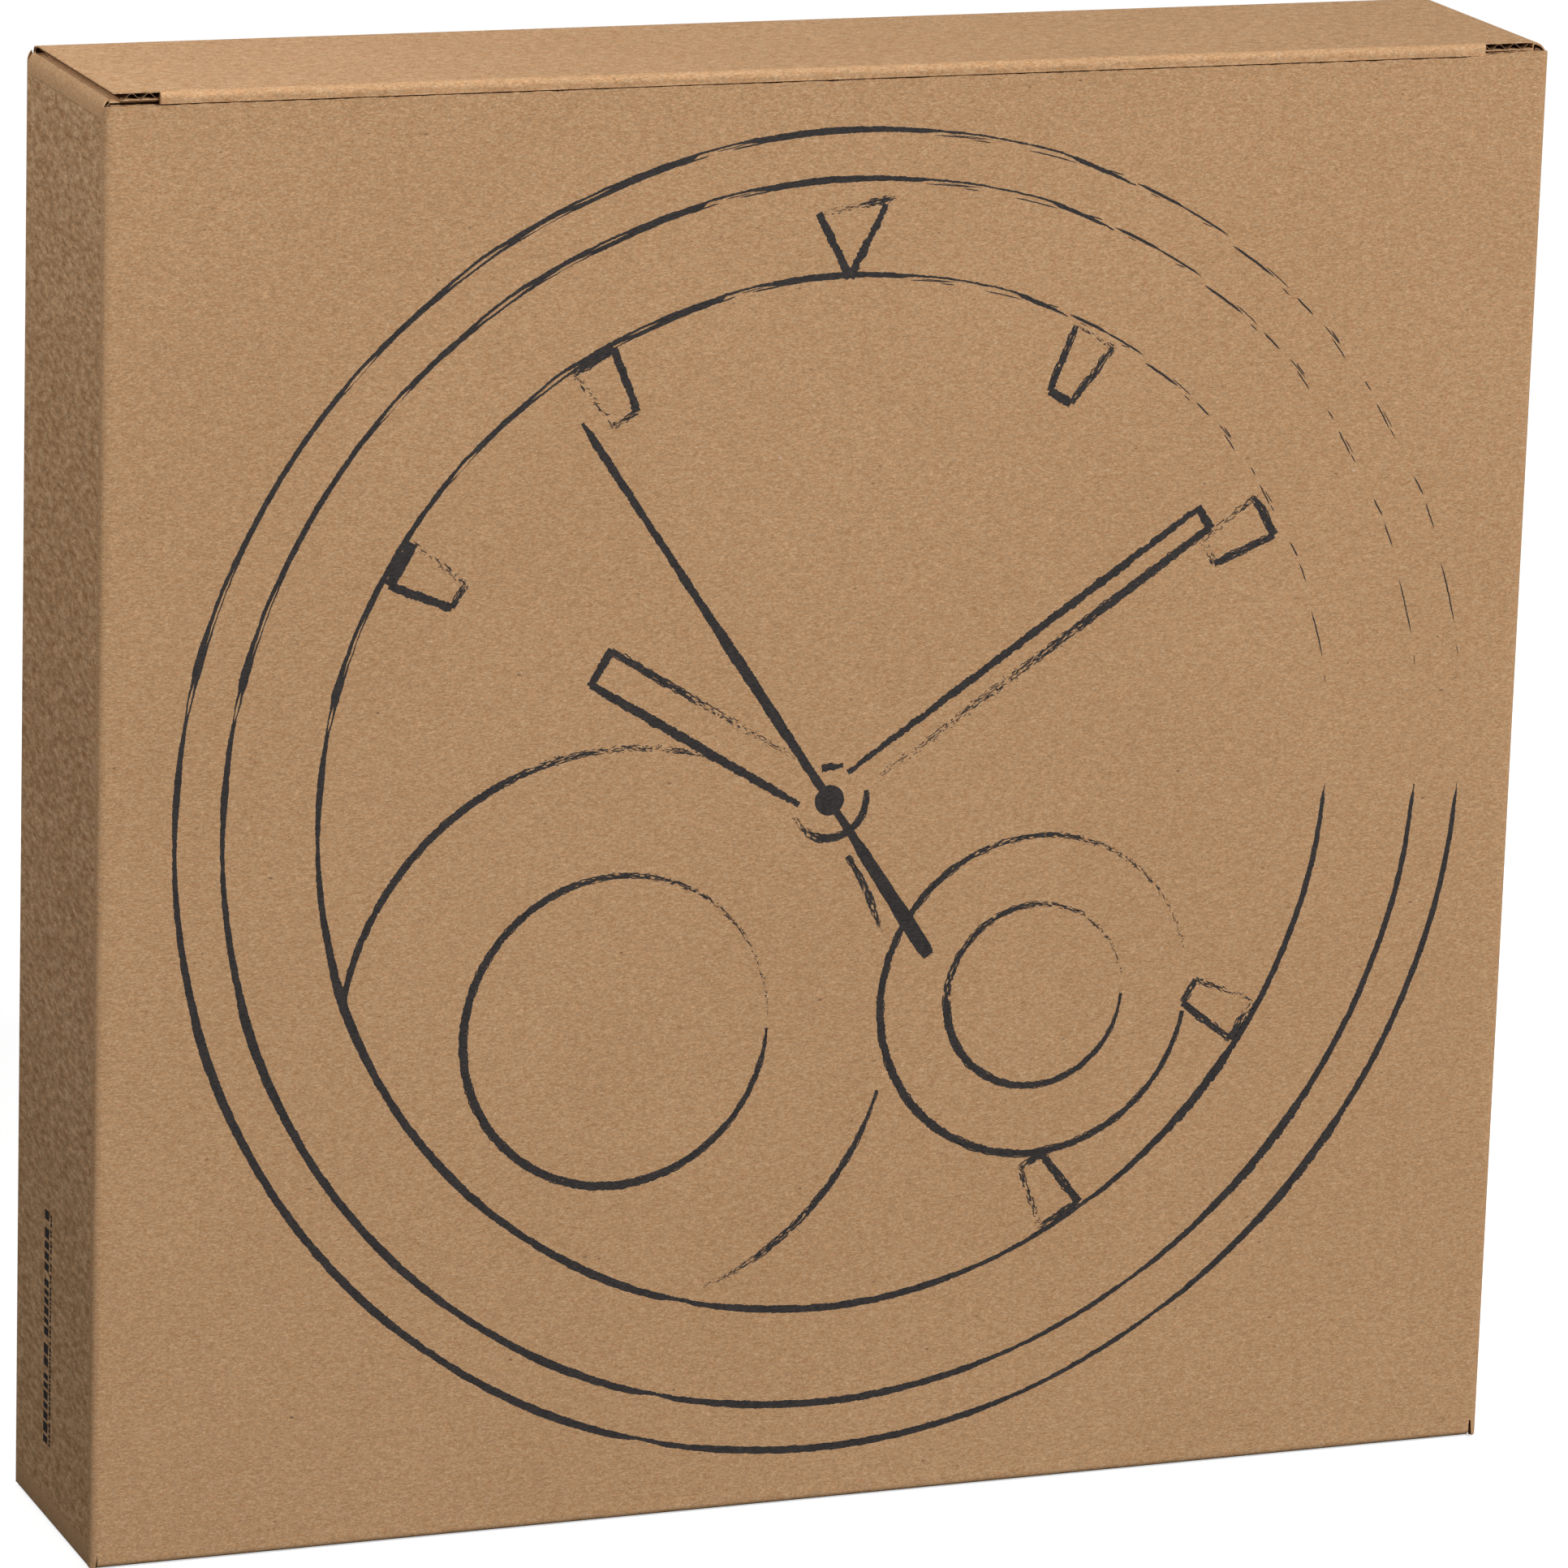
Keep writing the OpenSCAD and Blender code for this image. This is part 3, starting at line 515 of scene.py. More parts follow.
def bend(leg_a, leg_b, radius):
    """The inner and outer lines of a square fold, as points (in from the wall, down from the top)."""
    thick = BOARD - SKIN
    inner_r = max(0.0, radius - thick)
    arc = [math.radians(90) * i / ARC_STEPS for i in range(ARC_STEPS + 1)]
    outer = [(radius - radius * math.cos(a), radius - radius * math.sin(a)) for a in arc]
    far = thick + inner_r
    inner = [(far - inner_r * math.cos(a), far - inner_r * math.sin(a)) for a in arc]
    return [(thick, leg_a)] + inner + [(leg_b, thick)], [(0, leg_a)] + outer + [(leg_b, 0)]


def fold_band(name, lines, half, to_point, ends, paint, move=None):
    """A fold of board, made at rest and tied to no body. to_point(s, p, q) places a point of the bend."""
    inner, outer = lines
    thick = BOARD - SKIN

    def place(s, t, n):
        k = int(round(t))
        share = n / thick
        p = inner[k][0] + (outer[k][0] - inner[k][0]) * share
        q = inner[k][1] + (outer[k][1] - inner[k][1]) * share
        return to_point(s, p, q)

    count = len(inner) - 1
    first, last = half if isinstance(half, tuple) else (-half, half)
    shape = board(place, spread(first, last, 6), lambda s: (0, count), count)
    band = make_piece(name, shape, paint, None, move)
    turn = move or Matrix.Identity(4)
    start, end = [(turn @ Vector(e)) * MM for e in ends]
    tuple(start)
    tuple(end)
    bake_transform(band)
    return band


RIGHT_END = HALF_W - 3.6     # where the top closure stops, against the lip of the right fold


def closure(end, move):
    """A closure with its raw front edges past the slits, its hinge fold, and its tuck roll."""
    body = end + "_closure"
    node = end + "_panel"
    place, axes = flat(Vector((0, 0, HINGE.z)), X, Y, Z)
    fold_half = box_mm("top_tuck_flap")[1].x + TUCK_MARGIN
    eps = 0.01
    half = WALL_HALF - EDGE_GAP
    left, right = (-half, RIGHT_END) if end == "top" else (-half, half)
    edge = span_of("top_panel", axes, half)[0]
    s_values = steps_between([left, -fold_half - eps, -fold_half, fold_half, fold_half + eps, right], 1.2)

    def span(s):
        if abs(s) > fold_half + eps / 2:
            return edge + RAW_INSET + ragged(s, 2 if s < 0 else 3) * RAW_RAG, HINGE.y
        return TUCK.y, HINGE.y

    shape = board(place, s_values, span, retreat=RETREAT)
    make_piece(end + "_closure_board", shape, CLOSURE_KRAFT, body, move, [node])
    tuck_roll(end, fold_half, move)
    outer_y, outer_z = HALF_D - SKIN, HEIGHT - SKIN
    lines = bend(HEIGHT - SKIN - WALL_HIGH, outer_y - HINGE.y, HINGE_R)
    ends = [(0, HALF_D, WALL_HIGH), (0, HINGE.y, HEIGHT)]
    fold_band(end + "_hinge_fold", lines, (-WALL_HALF, min(right, WALL_HALF)),
              lambda s, p, q: Vector((s, outer_y - p, outer_z - q)),
              ends, FOLD_KRAFT, move)


LEFT_REACH = 2.8         # how much further the roll runs at its left end


def tuck_roll(end, half, move):
    """The crushed roll of the tuck fold, with the small dents of the scoring wheel."""
    top, front = HEIGHT - SKIN, TUCK.y - BOARD + SKIN
    base = WALL_TOP + 0.03
    line = [(TUCK.y, top), (TUCK.y - 0.7, top - 0.10), (TUCK.y - 1.3, top - 0.42),
            (front + 0.10, top - 0.95), (front, top - 1.5), (front + 0.03, base + 0.75),
            (front + 0.02, base + 0.15), (TUCK.y - 0.5, base), (TUCK.y + 0.3, base)]
    upper, lower = [], []
    for s in spread(-half - LEFT_REACH, half, 1.0):
        row = []
        for k, (y, z) in enumerate(line):
            free = 0 < k < len(line) - 2
            dent = 0.11 * noise.noise((s * 0.11, k * 0.35, 2.0))
            dent += 0.06 * noise.noise((s * 0.6, k * 0.9, 7.0))
            slant = max(0.0, s - half + 2.0) * 0.35 * k / len(line)
            row.append(Vector((s - slant, y + (0.06 + dent if free else 0), z)))
        upper.append(row)
        lower.append([Vector((s, TUCK.y + 0.25, TUCK.z - 0.6 - 0.02 * k)) for k in range(len(line))])
    shape = Shape()
    shape.shell(upper, lower)
    return make_piece(end + "_tuck_roll", shape, FOLD_KRAFT, end + "_closure", move)


TUCK_LEAN = math.radians(6)
TUCK_START = -3.2        # top edge of a tuck flap, below the mitre that lets it turn in


def tuck_flap(end, move):
    """The flap behind the front wall. It leans in, and its lower corners are rounded."""
    low_axis = Vector((0, -math.sin(TUCK_LEAN), math.cos(TUCK_LEAN)))
    outward = Vector((0, -math.cos(TUCK_LEAN), -math.sin(TUCK_LEAN)))
    inside = BOARD + 0.2
    place, axes = flat(TUCK - inside * outward, X, low_axis, outward)
    half = box_mm("top_tuck_flap")[1].x - 0.05

    def span(s):
        low_end = span_of("top_tuck_flap", axes, s)[0] + ragged(s, 5) * 0.5
        return min(low_end, TUCK_START - 0.1), TUCK_START

    shape = board(place, spread(-half, half, 1.5), span)
    return make_piece(end + "_tuck_board", shape, WALL_KRAFT, end + "_tuck", move,
                      [end + "_tuck_flap"])


# The lip of a side wall's fold at each end: its radius, its height above the flap, and its reach inwards.
LIPS = {("top", "left"): (SOFT_R, 1.4, 1.3), ("top", "right"): (SOFT_R, 1.75, 3.3),
        ("bottom", "left"): (TIGHT_R, 1.75, 1.35), ("bottom", "right"): (TIGHT_R, 1.75, 1.35)}


def dust_flap(end, side, move):
    """A dust flap, drawn as the upper left one, and the soft fold that joins it to the side wall."""
    place, axes = flat(DUST, Y, X, Z)
    low, high = box_mm("top_dust_flap_left")
    body = f"{end}_dust_{side}"

    def span(s):
        far = span_of("top_dust_flap_left", axes, s)[1]
        return BOARD, max(far + ragged(s, 6) * 0.5, BOARD + 0.1)

    y_values = steps_between([low.y + 0.02, high.y - 0.3], 0.6)
    shape = board(place, y_values, span)
    make_piece(f"{end}_dust_board_{side}", shape, DUST_KRAFT, body, move,
               [f"{end}_dust_flap_{side}"])
    outer_x, outer_z = -HALF_W + SKIN, left_high.z - SKIN
    lines = lipped_bend(LEG, *LIPS[(end, side)])
    ends = [(-HALF_W, 0, left_high.z - LEG), (-HALF_W + LEG, 0, left_high.z)]
    fold_band(f"{end}_dust_fold_{side}", lines, DEEP_HALF - SKIN,
              lambda s, p, q: Vector((outer_x + p, s, outer_z - q)),
              ends, FOLD_KRAFT, move)


def pad(name, node, move):
    """A board pad whose sides fold forwards as ribs, drawn as the front one."""
    low, high = box_mm("front_pad")
    inner_y = high.y
    half = high.x
    rib_at = -low.y
    sheet, _ = flat(Vector((0, inner_y, 0)), X, Z, -Y)
    shape = board(sheet, [-half, half], lambda s: (low.z, high.z))
    for side in (-1, 1):
        rib, axes = flat(Vector((side * (half - BOARD), 0, 0)), -Y * -side, Z, X * side)
        _, rib_high = span_of("front_pad", flat(Vector((0, 0, 0)), -Y, Z, -X)[1], rib_at - 1)
        ends = sorted((side * -rib_at, side * (inner_y - BOARD)))
        board(rib, ends, lambda s: (low.z, rib_high), 1, shape)
    return make_piece(name, shape, WALL_KRAFT, "carton", move, [node])


def carton():
    wide_wall("front_wall", "front_panel", "carton", None, BASE_ARC, TOP_ARC, WALL_TOP - 0.1)
    wide_wall("back_wall", "back_panel", "carton", OTHER_END, TOP_ARC, BASE_ARC, HEIGHT)
    side_wall("left_wall", ["left_panel"], None)
    side_wall("right_wall", ["right_panel"], MIRROR)
    glued_strip()
    for end, move in (("top", Matrix.Identity(4)), ("bottom", OTHER_END)):
        closure(end, move)
        tuck_flap(end, move)
        dust_flap(end, "left", move)
        dust_flap(end, "right", move @ MIRROR)
    pad("front_pad_board", "front_pad", None)
    pad("rear_pad_board", "rear_pad", OTHER_END)


carton()


# ---- materials of the packing and the clock ----

def cloudy(p, scale, light, dark, fine, depth):
    """A colour that drifts between two tones, with the finer texture over it."""
    return tint(p, p.ramp(p.noise(scale), (0.3, dark), (0.7, light)), fine, depth)


def longest_side(p, node):
    """A CAD node's corners, the axis that it is longest along, and the shader's place on that axis."""
    low, high = box_mm(node)
    along = max(range(3), key=lambda k: high[k] - low[k])
    return low, high, along, p.node("ShaderNodeSeparateXYZ", {"Vector": p.place}).outputs[along]


def moulded_pulp():
    p = Paint("pulp")
    lump = p.noise(330.0, 4.0, 0.65)
    fibre = p.noise(1700.0, 2.0, 0.6)
    tones = ((0.30, (0.37, 0.35, 0.31)), (0.52, (0.47, 0.45, 0.41)), (0.72, (0.57, 0.55, 0.51)))
    colour = tint(p, p.ramp(lump, *tones), fibre, 0.12)
    height = p.math("ADD", lump, p.math("MULTIPLY", fibre, 0.4))
    return p.finish(colour, p.level(fibre, 0.3, 0.7, 0.85, 0.98), p.bump(height, 0.6, 0.0006))


def metal(name, light, dark, grain, rough, bump=0.05):
    """Bare or brushed metal. grain is larger along the axes across the brushing."""
    p = Paint(name)
    streak = p.noise(900.0, 3.0, 0.6, grain)
    colour = cloudy(p, 60.0, light, dark, streak, 0.06)
    return p.finish(colour, p.level(streak, 0.3, 0.7, *rough), p.bump(streak, bump, 0.00004), Metallic=1.0)


def turned(name, node, light, dark, pitch=0.5):
    """Metal turned about the middle of a CAD node, with the fine grooves of the tool."""
    low, high = box_mm(node)
    p = Paint(name)
    centre = (low + high) / 2 * MM
    shifted = p.node("ShaderNodeMapping", {"Vector": p.place, "Location": tuple(-centre)})
    groove = p.node("ShaderNodeTexWave", {
        "Vector": shifted.outputs["Vector"], "Scale": 1 / (pitch * MM) / math.tau, "Distortion": 0.6,
        "Detail": 2.0}, wave_type="RINGS", rings_direction="Y").outputs["Fac"]
    colour = p.ramp(p.noise(90.0), (0.3, dark), (0.7, light))
    rough = p.level(groove, 0.0, 1.0, 0.20, 0.32)
    return p.finish(colour, rough, p.bump(groove, 0.12, 0.00003), Metallic=1.0)


def moulding(name, light, dark, rough, spark=0.12):
    """Moulded plastic or paint with a fine spark texture."""
    p = Paint(name)
    grit = p.noise(2600.0, 2.0, 0.6)
    colour = cloudy(p, 45.0, light, dark, grit, 0.04)
    return p.finish(colour, p.level(grit, 0.3, 0.7, *rough), p.bump(grit, spark, 0.00006))


def clear_glass():
    p = Paint("pane")
    smear = p.noise(18.0, 3.0, 0.6)
    return p.finish((0.97, 0.985, 0.98, 1.0), p.level(smear, 0.4, 0.8, 0.0, 0.05), None,
                    Transmission_Weight=1.0, IOR=1.45)


def printed_dial():
    p = Paint("dial_card")
    fibre = p.noise(1900.0, 2.0, 0.6)
    colour = cloudy(p, 30.0, (0.84, 0.83, 0.81), (0.80, 0.79, 0.76), fibre, 0.02)
    return p.finish(colour, p.level(fibre, 0.3, 0.7, 0.45, 0.6), p.bump(fibre, 0.1, 0.00004))


def winding():
    """Enamelled wire, wound side by side."""
    p = Paint("wire")
    place = longest_side(p, "motor_coil")[3]
    turns = p.math("SINE", p.math("MULTIPLY", place, math.tau / (0.35 * MM)))
    # Darker between the turns: painted shade in the grooves between neighbouring wires, lighter on their crests.
    colour = p.ramp(p.level(turns, -1.0, 1.0), (0.1, (0.22, 0.07, 0.03)), (0.7, (0.62, 0.25, 0.10)))
    rough = p.level(p.noise(700.0), 0.3, 0.7, 0.25, 0.4)
    return p.finish(colour, rough, p.bump(turns, 0.5, 0.0001), Metallic=0.8)


def cell_jacket():
    """The cell's printed sleeve: dark, with a bronze band by the positive end."""
    p = Paint("sleeve")
    low, high, along, place = longest_side(p, "battery")
    share = p.level(place, low[along] * MM, high[along] * MM)
    dark, bronze, steel = (0.02, 0.02, 0.022), (0.50, 0.30, 0.13), (0.6, 0.6, 0.6)
    colour = p.ramp(share, (0.0, dark), (0.66, dark), (0.68, bronze), (0.96, bronze), (0.97, steel))
    scuff = p.noise(800.0, 3.0, 0.6)
    return p.finish(tint(p, colour, scuff, 0.08), p.level(scuff, 0.3, 0.7, 0.22, 0.34),
                    p.bump(scuff, 0.08, 0.00004), Metallic=0.35)


def circuit():
    """Solder mask with tracks under it."""
    p = Paint("solder_mask")
    upright = p.node("ShaderNodeMapping", {"Vector": p.place, "Rotation": (math.pi / 2, 0, 0)})
    tracks = p.node("ShaderNodeTexBrick", {
        "Vector": upright.outputs["Vector"], "Scale": 420.0, "Mortar Size": 0.06,
        "Color1": (0.02, 0.13, 0.05, 1), "Color2": (0.025, 0.16, 0.06, 1), "Mortar": (0.07, 0.30, 0.10, 1)})
    grit = p.noise(1500.0)
    colour = tint(p, tracks.outputs["Color"], grit, 0.08)
    return p.finish(colour, p.level(grit, 0.3, 0.7, 0.28, 0.4), p.bump(tracks.outputs["Fac"], 0.2, 0.00005))


BLACK_PAINT = moulding("black_paint", (0.030, 0.030, 0.032), (0.020, 0.020, 0.022), (0.32, 0.45))
SLOT_PAINTS = {
    "moulded_pulp": moulded_pulp(),
    "rim_steel": metal("brushed_rim", (0.74, 0.75, 0.77), (0.66, 0.67, 0.69), (1, 8, 1), (0.24, 0.38)),
    "clear_glass": clear_glass(),
    "black_rubber": moulding("rubber", (0.035, 0.035, 0.036), (0.022, 0.022, 0.023), (0.7, 0.9), 0.3),
    "dial_white": printed_dial(),
    "black_plastic": moulding("black_moulding", (0.034, 0.034, 0.036), (0.022, 0.022, 0.024),
                              (0.4, 0.58), 0.25),
    "bare_steel": metal("bare_sheet", (0.66, 0.66, 0.67), (0.54, 0.54, 0.55), (1, 1, 6), (0.28, 0.45)),
    "black_metal": BLACK_PAINT,
    "brass": metal("tarnished_brass", (0.80, 0.57, 0.26), (0.60, 0.40, 0.17), (5, 1, 1), (0.25, 0.42)),
    "white_plastic": moulding("acetal", (0.82, 0.81, 0.77), (0.74, 0.73, 0.69), (0.32, 0.45), 0.08),
    "copper_winding": winding(),
    "cell_jacket": cell_jacket(),
    "circuit_green": circuit(),
}
TURNED = {node: turned("turned_" + node, node, (0.76, 0.77, 0.79), (0.66, 0.67, 0.69))
          for node in ("thermometer_ring", "hygrometer_ring")}


def dress_clock():
    """Gives each CAD node that stays in view its material."""
    for part in frame["record"]["subparts"]:
        node, slot = part["node"], part["material_slot"]
        paint = TURNED.get(node) or SLOT_PAINTS.get(slot)
        if paint:
            mesh = frame["nodes"][node].data
            mesh.materials.clear()
            mesh.materials.append(paint)


# ---- what is printed on the clock's dials ----

def tick_marks(name, node, inner, outer, angles, long_every, widths):
    """Radial marks on a round face. inner and outer are shares of the face's radius."""
    low, high = box_mm(node)
    centre_x, centre_z = (low.x + high.x) / 2, (low.z + high.z) / 2
    radius = (high.x - low.x) / 2
    shape = Shape()
    for k, degrees in enumerate(angles):
        a = math.radians(degrees)
        out = Vector((math.sin(a), 0, math.cos(a)))
        across = Vector((math.cos(a), 0, -math.sin(a)))
        major = k % long_every == 0
        start = radius * (inner if major else inner + (outer - inner) * 0.45)
        half = widths[0 if major else 1] / 2
        base = Vector((centre_x, low.y - 0.02, centre_z))
        corners = [base + out * r + across * h for r, h in
                   ((start, -half), (radius * outer, -half), (radius * outer, half), (start, half))]
        shape.prism(corners, Vector((0, 0.03, 0)))
    return make_piece(name, shape, BLACK_PAINT, "carton")


dress_clock()
tick_marks("minute_marks", "chapter_ring", 0.955, 0.985, [6 * k for k in range(60)], 5, (1.1, 0.5))
for gauge, count in (("thermometer_face", 51), ("hygrometer_face", 41)):
    sweep = [-135 + 270 * k / (count - 1) for k in range(count)]
    tick_marks(gauge + "_marks", gauge, 0.80, 0.93, sweep, 5, (0.5, 0.25))


# ---- the brush drawing ----
# Angles are clockwise from twelve, in degrees. Offsets from a circle are outwards.

PRINT_Y = -HALF_D + SKIN
INK_RISE = 0.015         # how far the first stroke stands proud of the liner
INK_LIFT = 0.003         # how much further each later stroke does, so that strokes never coincide
LANE_LIFT = 0.0015       # the same, between neighbouring bristles of a stroke
INK_SINK = 0.02
DIAL_X, DIAL_Z = 1.3, HEIGHT / 2 - 0.1
HUB = (DIAL_X - 0.6, DIAL_Z - 0.1)
SMALL_STEP = 0.3         # length of one cell of a stroke


def eased(knots, u):
    """The value at u of a curve through knots of (place, value, ...)."""
    for a, b in zip(knots, knots[1:]):
        if u <= b[0]:
            share = max(0.0, (u - a[0]) / (b[0] - a[0]))
            share = share * share * (3 - 2 * share)
            return [x + (y - x) * share for x, y in zip(a[1:], b[1:])]
    return list(knots[-1][1:])


def grain(u, seed, amount):
    """The ragged edge that a dry brush leaves."""
    return amount * (noise.noise((u * 0.45, seed * 7.7, 1.0)) + noise.noise((u * 1.9, seed * 3.1, 5.0)))


class Front:
    """A printed face, the front wall's unless at() says otherwise: gives a drawing's ink a thickness."""

    def __init__(self, at=None):
        self.shape = Shape()
        self.rise = INK_RISE
        self.at = at or (lambda x, z, rise: Vector((x, PRINT_Y - rise, z)))

    def next_layer(self):
        self.rise = INK_RISE + (self.rise - INK_RISE + INK_LIFT) % (9 * INK_LIFT)

    def ribbon(self, centres, normals, lefts, rights, lift=0.0):
        upper, lower = [], []
        for (x, z), (nx, nz), left, right in zip(centres, normals, lefts, rights):
            a = (x + nx * left, z + nz * left)
            b = (x + nx * right, z + nz * right)
            upper.append([self.at(*a, self.rise + lift), self.at(*b, self.rise + lift)])
            lower.append([self.at(*a, lift - INK_SINK), self.at(*b, lift - INK_SINK)])
        self.shape.shell(upper, lower)

    def spot(self, x, z, radius, seed, count=6, aspect=(1.3, 0.8), rough=0.5):
        """An irregular dot."""
        outline = []
        for i in range(count):
            a = math.tau * i / count
            r = radius * (1 + rough * noise.noise((seed * 3.3, i * 1.7, 0.5)))
            along, up = r * aspect[0] * math.cos(a), r * aspect[1] * math.sin(a)
            outline.append(self.at(x + along, z + up, -INK_SINK))
        self.shape.prism(outline, self.at(x, z, self.rise) - self.at(x, z, -INK_SINK))

    def stroke(self, track, widths, dryness=((0, 0.0),), seed=1.0, rough=0.22):
        """A brush stroke along a track (line, length), where line(u) gives a point. widths and dryness are
        knots over 0..1. Where it is dry, it breaks into the tracks of single bristles and specks."""
        line, length = track
        self.next_layer()
        count = max(2, round(length / SMALL_STEP))
        us = [length * i / count for i in range(count + 1)]
        points = [line(u) for u in us]
        normals = []
        for i in range(count + 1):
            a, b = points[max(0, i - 1)], points[min(count, i + 1)]
            dx, dz = b[0] - a[0], b[1] - a[1]
            size = math.hypot(dx, dz)
            normals.append((-dz / size, dx / size))
        wide = [eased(widths, u / length)[0] for u in us]
        dry = [eased(dryness, u / length)[0] for u in us]
        if max(dry) <= 0.0:
            self.ribbon(points, normals,
                        [w / 2 + grain(u, seed, rough) for u, w in zip(us, wide)],
                        [-w / 2 + grain(u, seed + 40, rough) for u, w in zip(us, wide)])
            return
        lanes = max(3, round(max(wide) / 0.22))
        for k in range(lanes):
            run = []
            for i in range(count + 1):
                if dry[i] < 0.03 or bristle(us[i], k, seed) > dry[i]:
                    run.append(i)
                if run and (run[-1] != i or i == count):
                    self.bristle_run(run, points, normals, wide, dry, us, k, lanes, seed, rough)
                    run = []
        self.specks(points, normals, wide, dry, seed)

    def bristle_run(self, run, points, normals, wide, dry, us, k, lanes, seed, rough):
        if len(run) < 2:
            return
        lefts, rights = [], []
        lift = LANE_LIFT * (k % 2)
        for i in run:
            inward = min(i - run[0], run[-1] - i)
            taper = min(1.0, 0.35 + 0.4 * inward) if dry[i] > 0.05 else 1.0
            lap = 1.45 - 0.4 * min(1.0, dry[i] / 0.4)
            centre = ((k + 0.5) / lanes - 0.5) * (1 - 0.35 * dry[i])
            half = wide[i] / lanes / 2 * lap * taper
            stray = grain(us[i], seed + k, rough if k in (0, lanes - 1) else rough * 0.4)
            lefts.append(wide[i] * centre + half + stray)
            rights.append(wide[i] * centre - half + stray)
        self.ribbon([points[i] for i in run], [normals[i] for i in run], lefts, rights, lift)

    def specks(self, points, normals, wide, dry, seed):
        chance = random.Random(int(seed * 1000) + 5)
        for i in range(len(points)):
            if dry[i] > 0.25 and chance.random() < 0.5:
                across = wide[i] * (chance.random() - 0.5) * 1.25
                x = points[i][0] + normals[i][0] * across
                z = points[i][1] + normals[i][1] * across
                self.spot(x, z, 0.07 + 0.12 * chance.random(), seed + i)


def bristle(u, k, seed):
    """How much ink one bristle leaves at u, from 0 to 1."""
    slow = noise.noise((u * 0.16, seed * 9.1, 3.0))
    quick = noise.noise((u * 1.1, k * 0.55 + seed * 4.3, 8.0))
    return 0.5 + 0.16 * slow + 0.95 * quick


def straight(a, b):
    """A straight track from a to b."""
    length = math.hypot(b[0] - a[0], b[1] - a[1])

    def line(u):
        share = u / length
        return a[0] + (b[0] - a[0]) * share, a[1] + (b[1] - a[1]) * share

    return line, length


def circle_point(centre, radius, degrees, across=0.0):
    """A point at a radius from a centre, moved clockwise across that radius."""
    a = math.radians(degrees)
    return (centre[0] + radius * math.sin(a) + across * math.cos(a),
            centre[1] + radius * math.cos(a) - across * math.sin(a))


def rim(centre, radius, angles):
    """The points of a circle at some angles, and the directions outwards there."""
    return [circle_point(centre, radius, a) for a in angles], [circle_point((0, 0), 1.0, a) for a in angles]


def arc(centre, radius, start, end):
    """A track along a circle, from one clockwise angle to another."""
    length = radius * math.radians(abs(end - start))
    return lambda u: circle_point(centre, radius, start + (end - start) * u / length), length


# The stroke that all three large circles share: angle, offset of its middle, width.
RING_STROKE = [
    (92.2, 1.55, 0.15), (94.3, 1.35, 1.0), (100, 1.35, 1.3), (112, 0.95, 1.45), (122, 0.75, 1.5),
    (126, 0.65, 2.1), (132, 0.6, 2.1), (137, 0.4, 1.6), (144, 0.4, 1.25), (147, 0.25, 0.85),
    (151, 0.25, 1.15), (160, 0.4, 0.95), (166, 0.4, 1.5), (175, 0.4, 1.65), (187, 0.2, 1.65),
    (193.5, 0.3, 1.2), (195.5, 0.05, 0.8), (199, 0.45, 1.6), (205, 0.45, 1.85), (216, 0.3, 1.55),
    (225, 0.5, 1.85), (240, 0.65, 1.7), (252, 0.9, 2.1), (257, 0.6, 1.6), (263, 0.6, 1.35),
    (269, 0.6, 0.95), (274, 0.6, 1.5), (280.5, 0.8, 0.85), (283.2, 0.8, 1.3), (284.5, 0.85, 1.95),
    (290, 0.75, 1.4), (300, 0.45, 1.25), (308, 0.3, 1.15), (312, 0.1, 1.4), (316, -0.05, 1.25),
    (322, -0.3, 1.4), (326.5, -0.2, 1.75), (331, -0.55, 1.6), (338, -0.95, 1.75), (345.4, -0.95, 1.45),
    (346.3, -0.4, 0.5), (349.4, -0.32, 0.45), (353.0, -0.72, 1.45), (357, -0.65, 1.5), (366, -0.6, 1.0),
    (367.6, -0.35, 0.55), (373, 0.05, 0.4), (379.6, 0.55, 0.42), (380.6, 0.3, 0.95), (383, 0.15, 0.9),
    (386.3, 0.1, 0.3)]
# Where that stroke splits: from, to, place across it from its inner edge, and the width of the split.
RING_SPLITS = [
    (280.7, 283.5, 0.5, 0.5), (286.6, 293.6, 0.30, 0.42), (310.2, 314.4, 0.28, 0.62),
    (322.2, 328.6, 0.45, 0.62), (329.5, 334.6, 0.22, 0.45), (334.6, 338.4, 0.62, 0.3)]
# Its dry end: from, offset, to, offset, width.
RING_DASHES = [
    (344.9, -1.55, 347.2, -1.35, 0.3), (347.9, -0.95, 350.4, -0.85, 0.2), (349.2, -1.35, 352.4, -1.3, 0.34),
    (7.2, -1.35, 11.7, -0.8, 0.22), (8.4, -0.95, 12.6, -0.5, 0.14), (10.9, -1.35, 12.4, -1.15, 0.2),
    (16.0, -0.95, 20.4, -0.4, 0.24), (23.4, 0.6, 24.9, 0.95, 0.25), (26.4, 0.6, 31.5, 1.05, 0.62),
    (30.9, 0.95, 36.2, 1.45, 0.42), (33.4, 0.45, 34.4, 0.9, 0.2), (27.9, 0.05, 28.8, 0.15, 0.16),
    (37.0, 0.35, 41.7, 1.1, 0.5), (40.7, 1.5, 43.5, 1.6, 0.2), (43.0, 0.6, 43.9, 0.7, 0.2),
    (44.6, 1.4, 46.8, 1.5, 0.36), (48.2, 1.85, 50.6, 2.0, 0.2), (49.0, 2.35, 50.4, 2.2, 0.26),
    (49.6, 1.4, 51.8, 1.15, 0.26), (54.6, 1.95, 55.6, 1.9, 0.25), (56.8, 1.6, 59.4, 1.35, 0.28),
    (57.8, 1.95, 59.4, 2.1, 0.16), (59.5, 1.5, 60.3, 1.55, 0.2), (64.4, 1.9, 66.2, 2.35, 0.3),
    (67.0, 2.2, 69.3, 2.25, 0.26), (72.6, 1.65, 77.9, 1.95, 0.28), (80.0, 1.9, 80.9, 1.9, 0.15)]


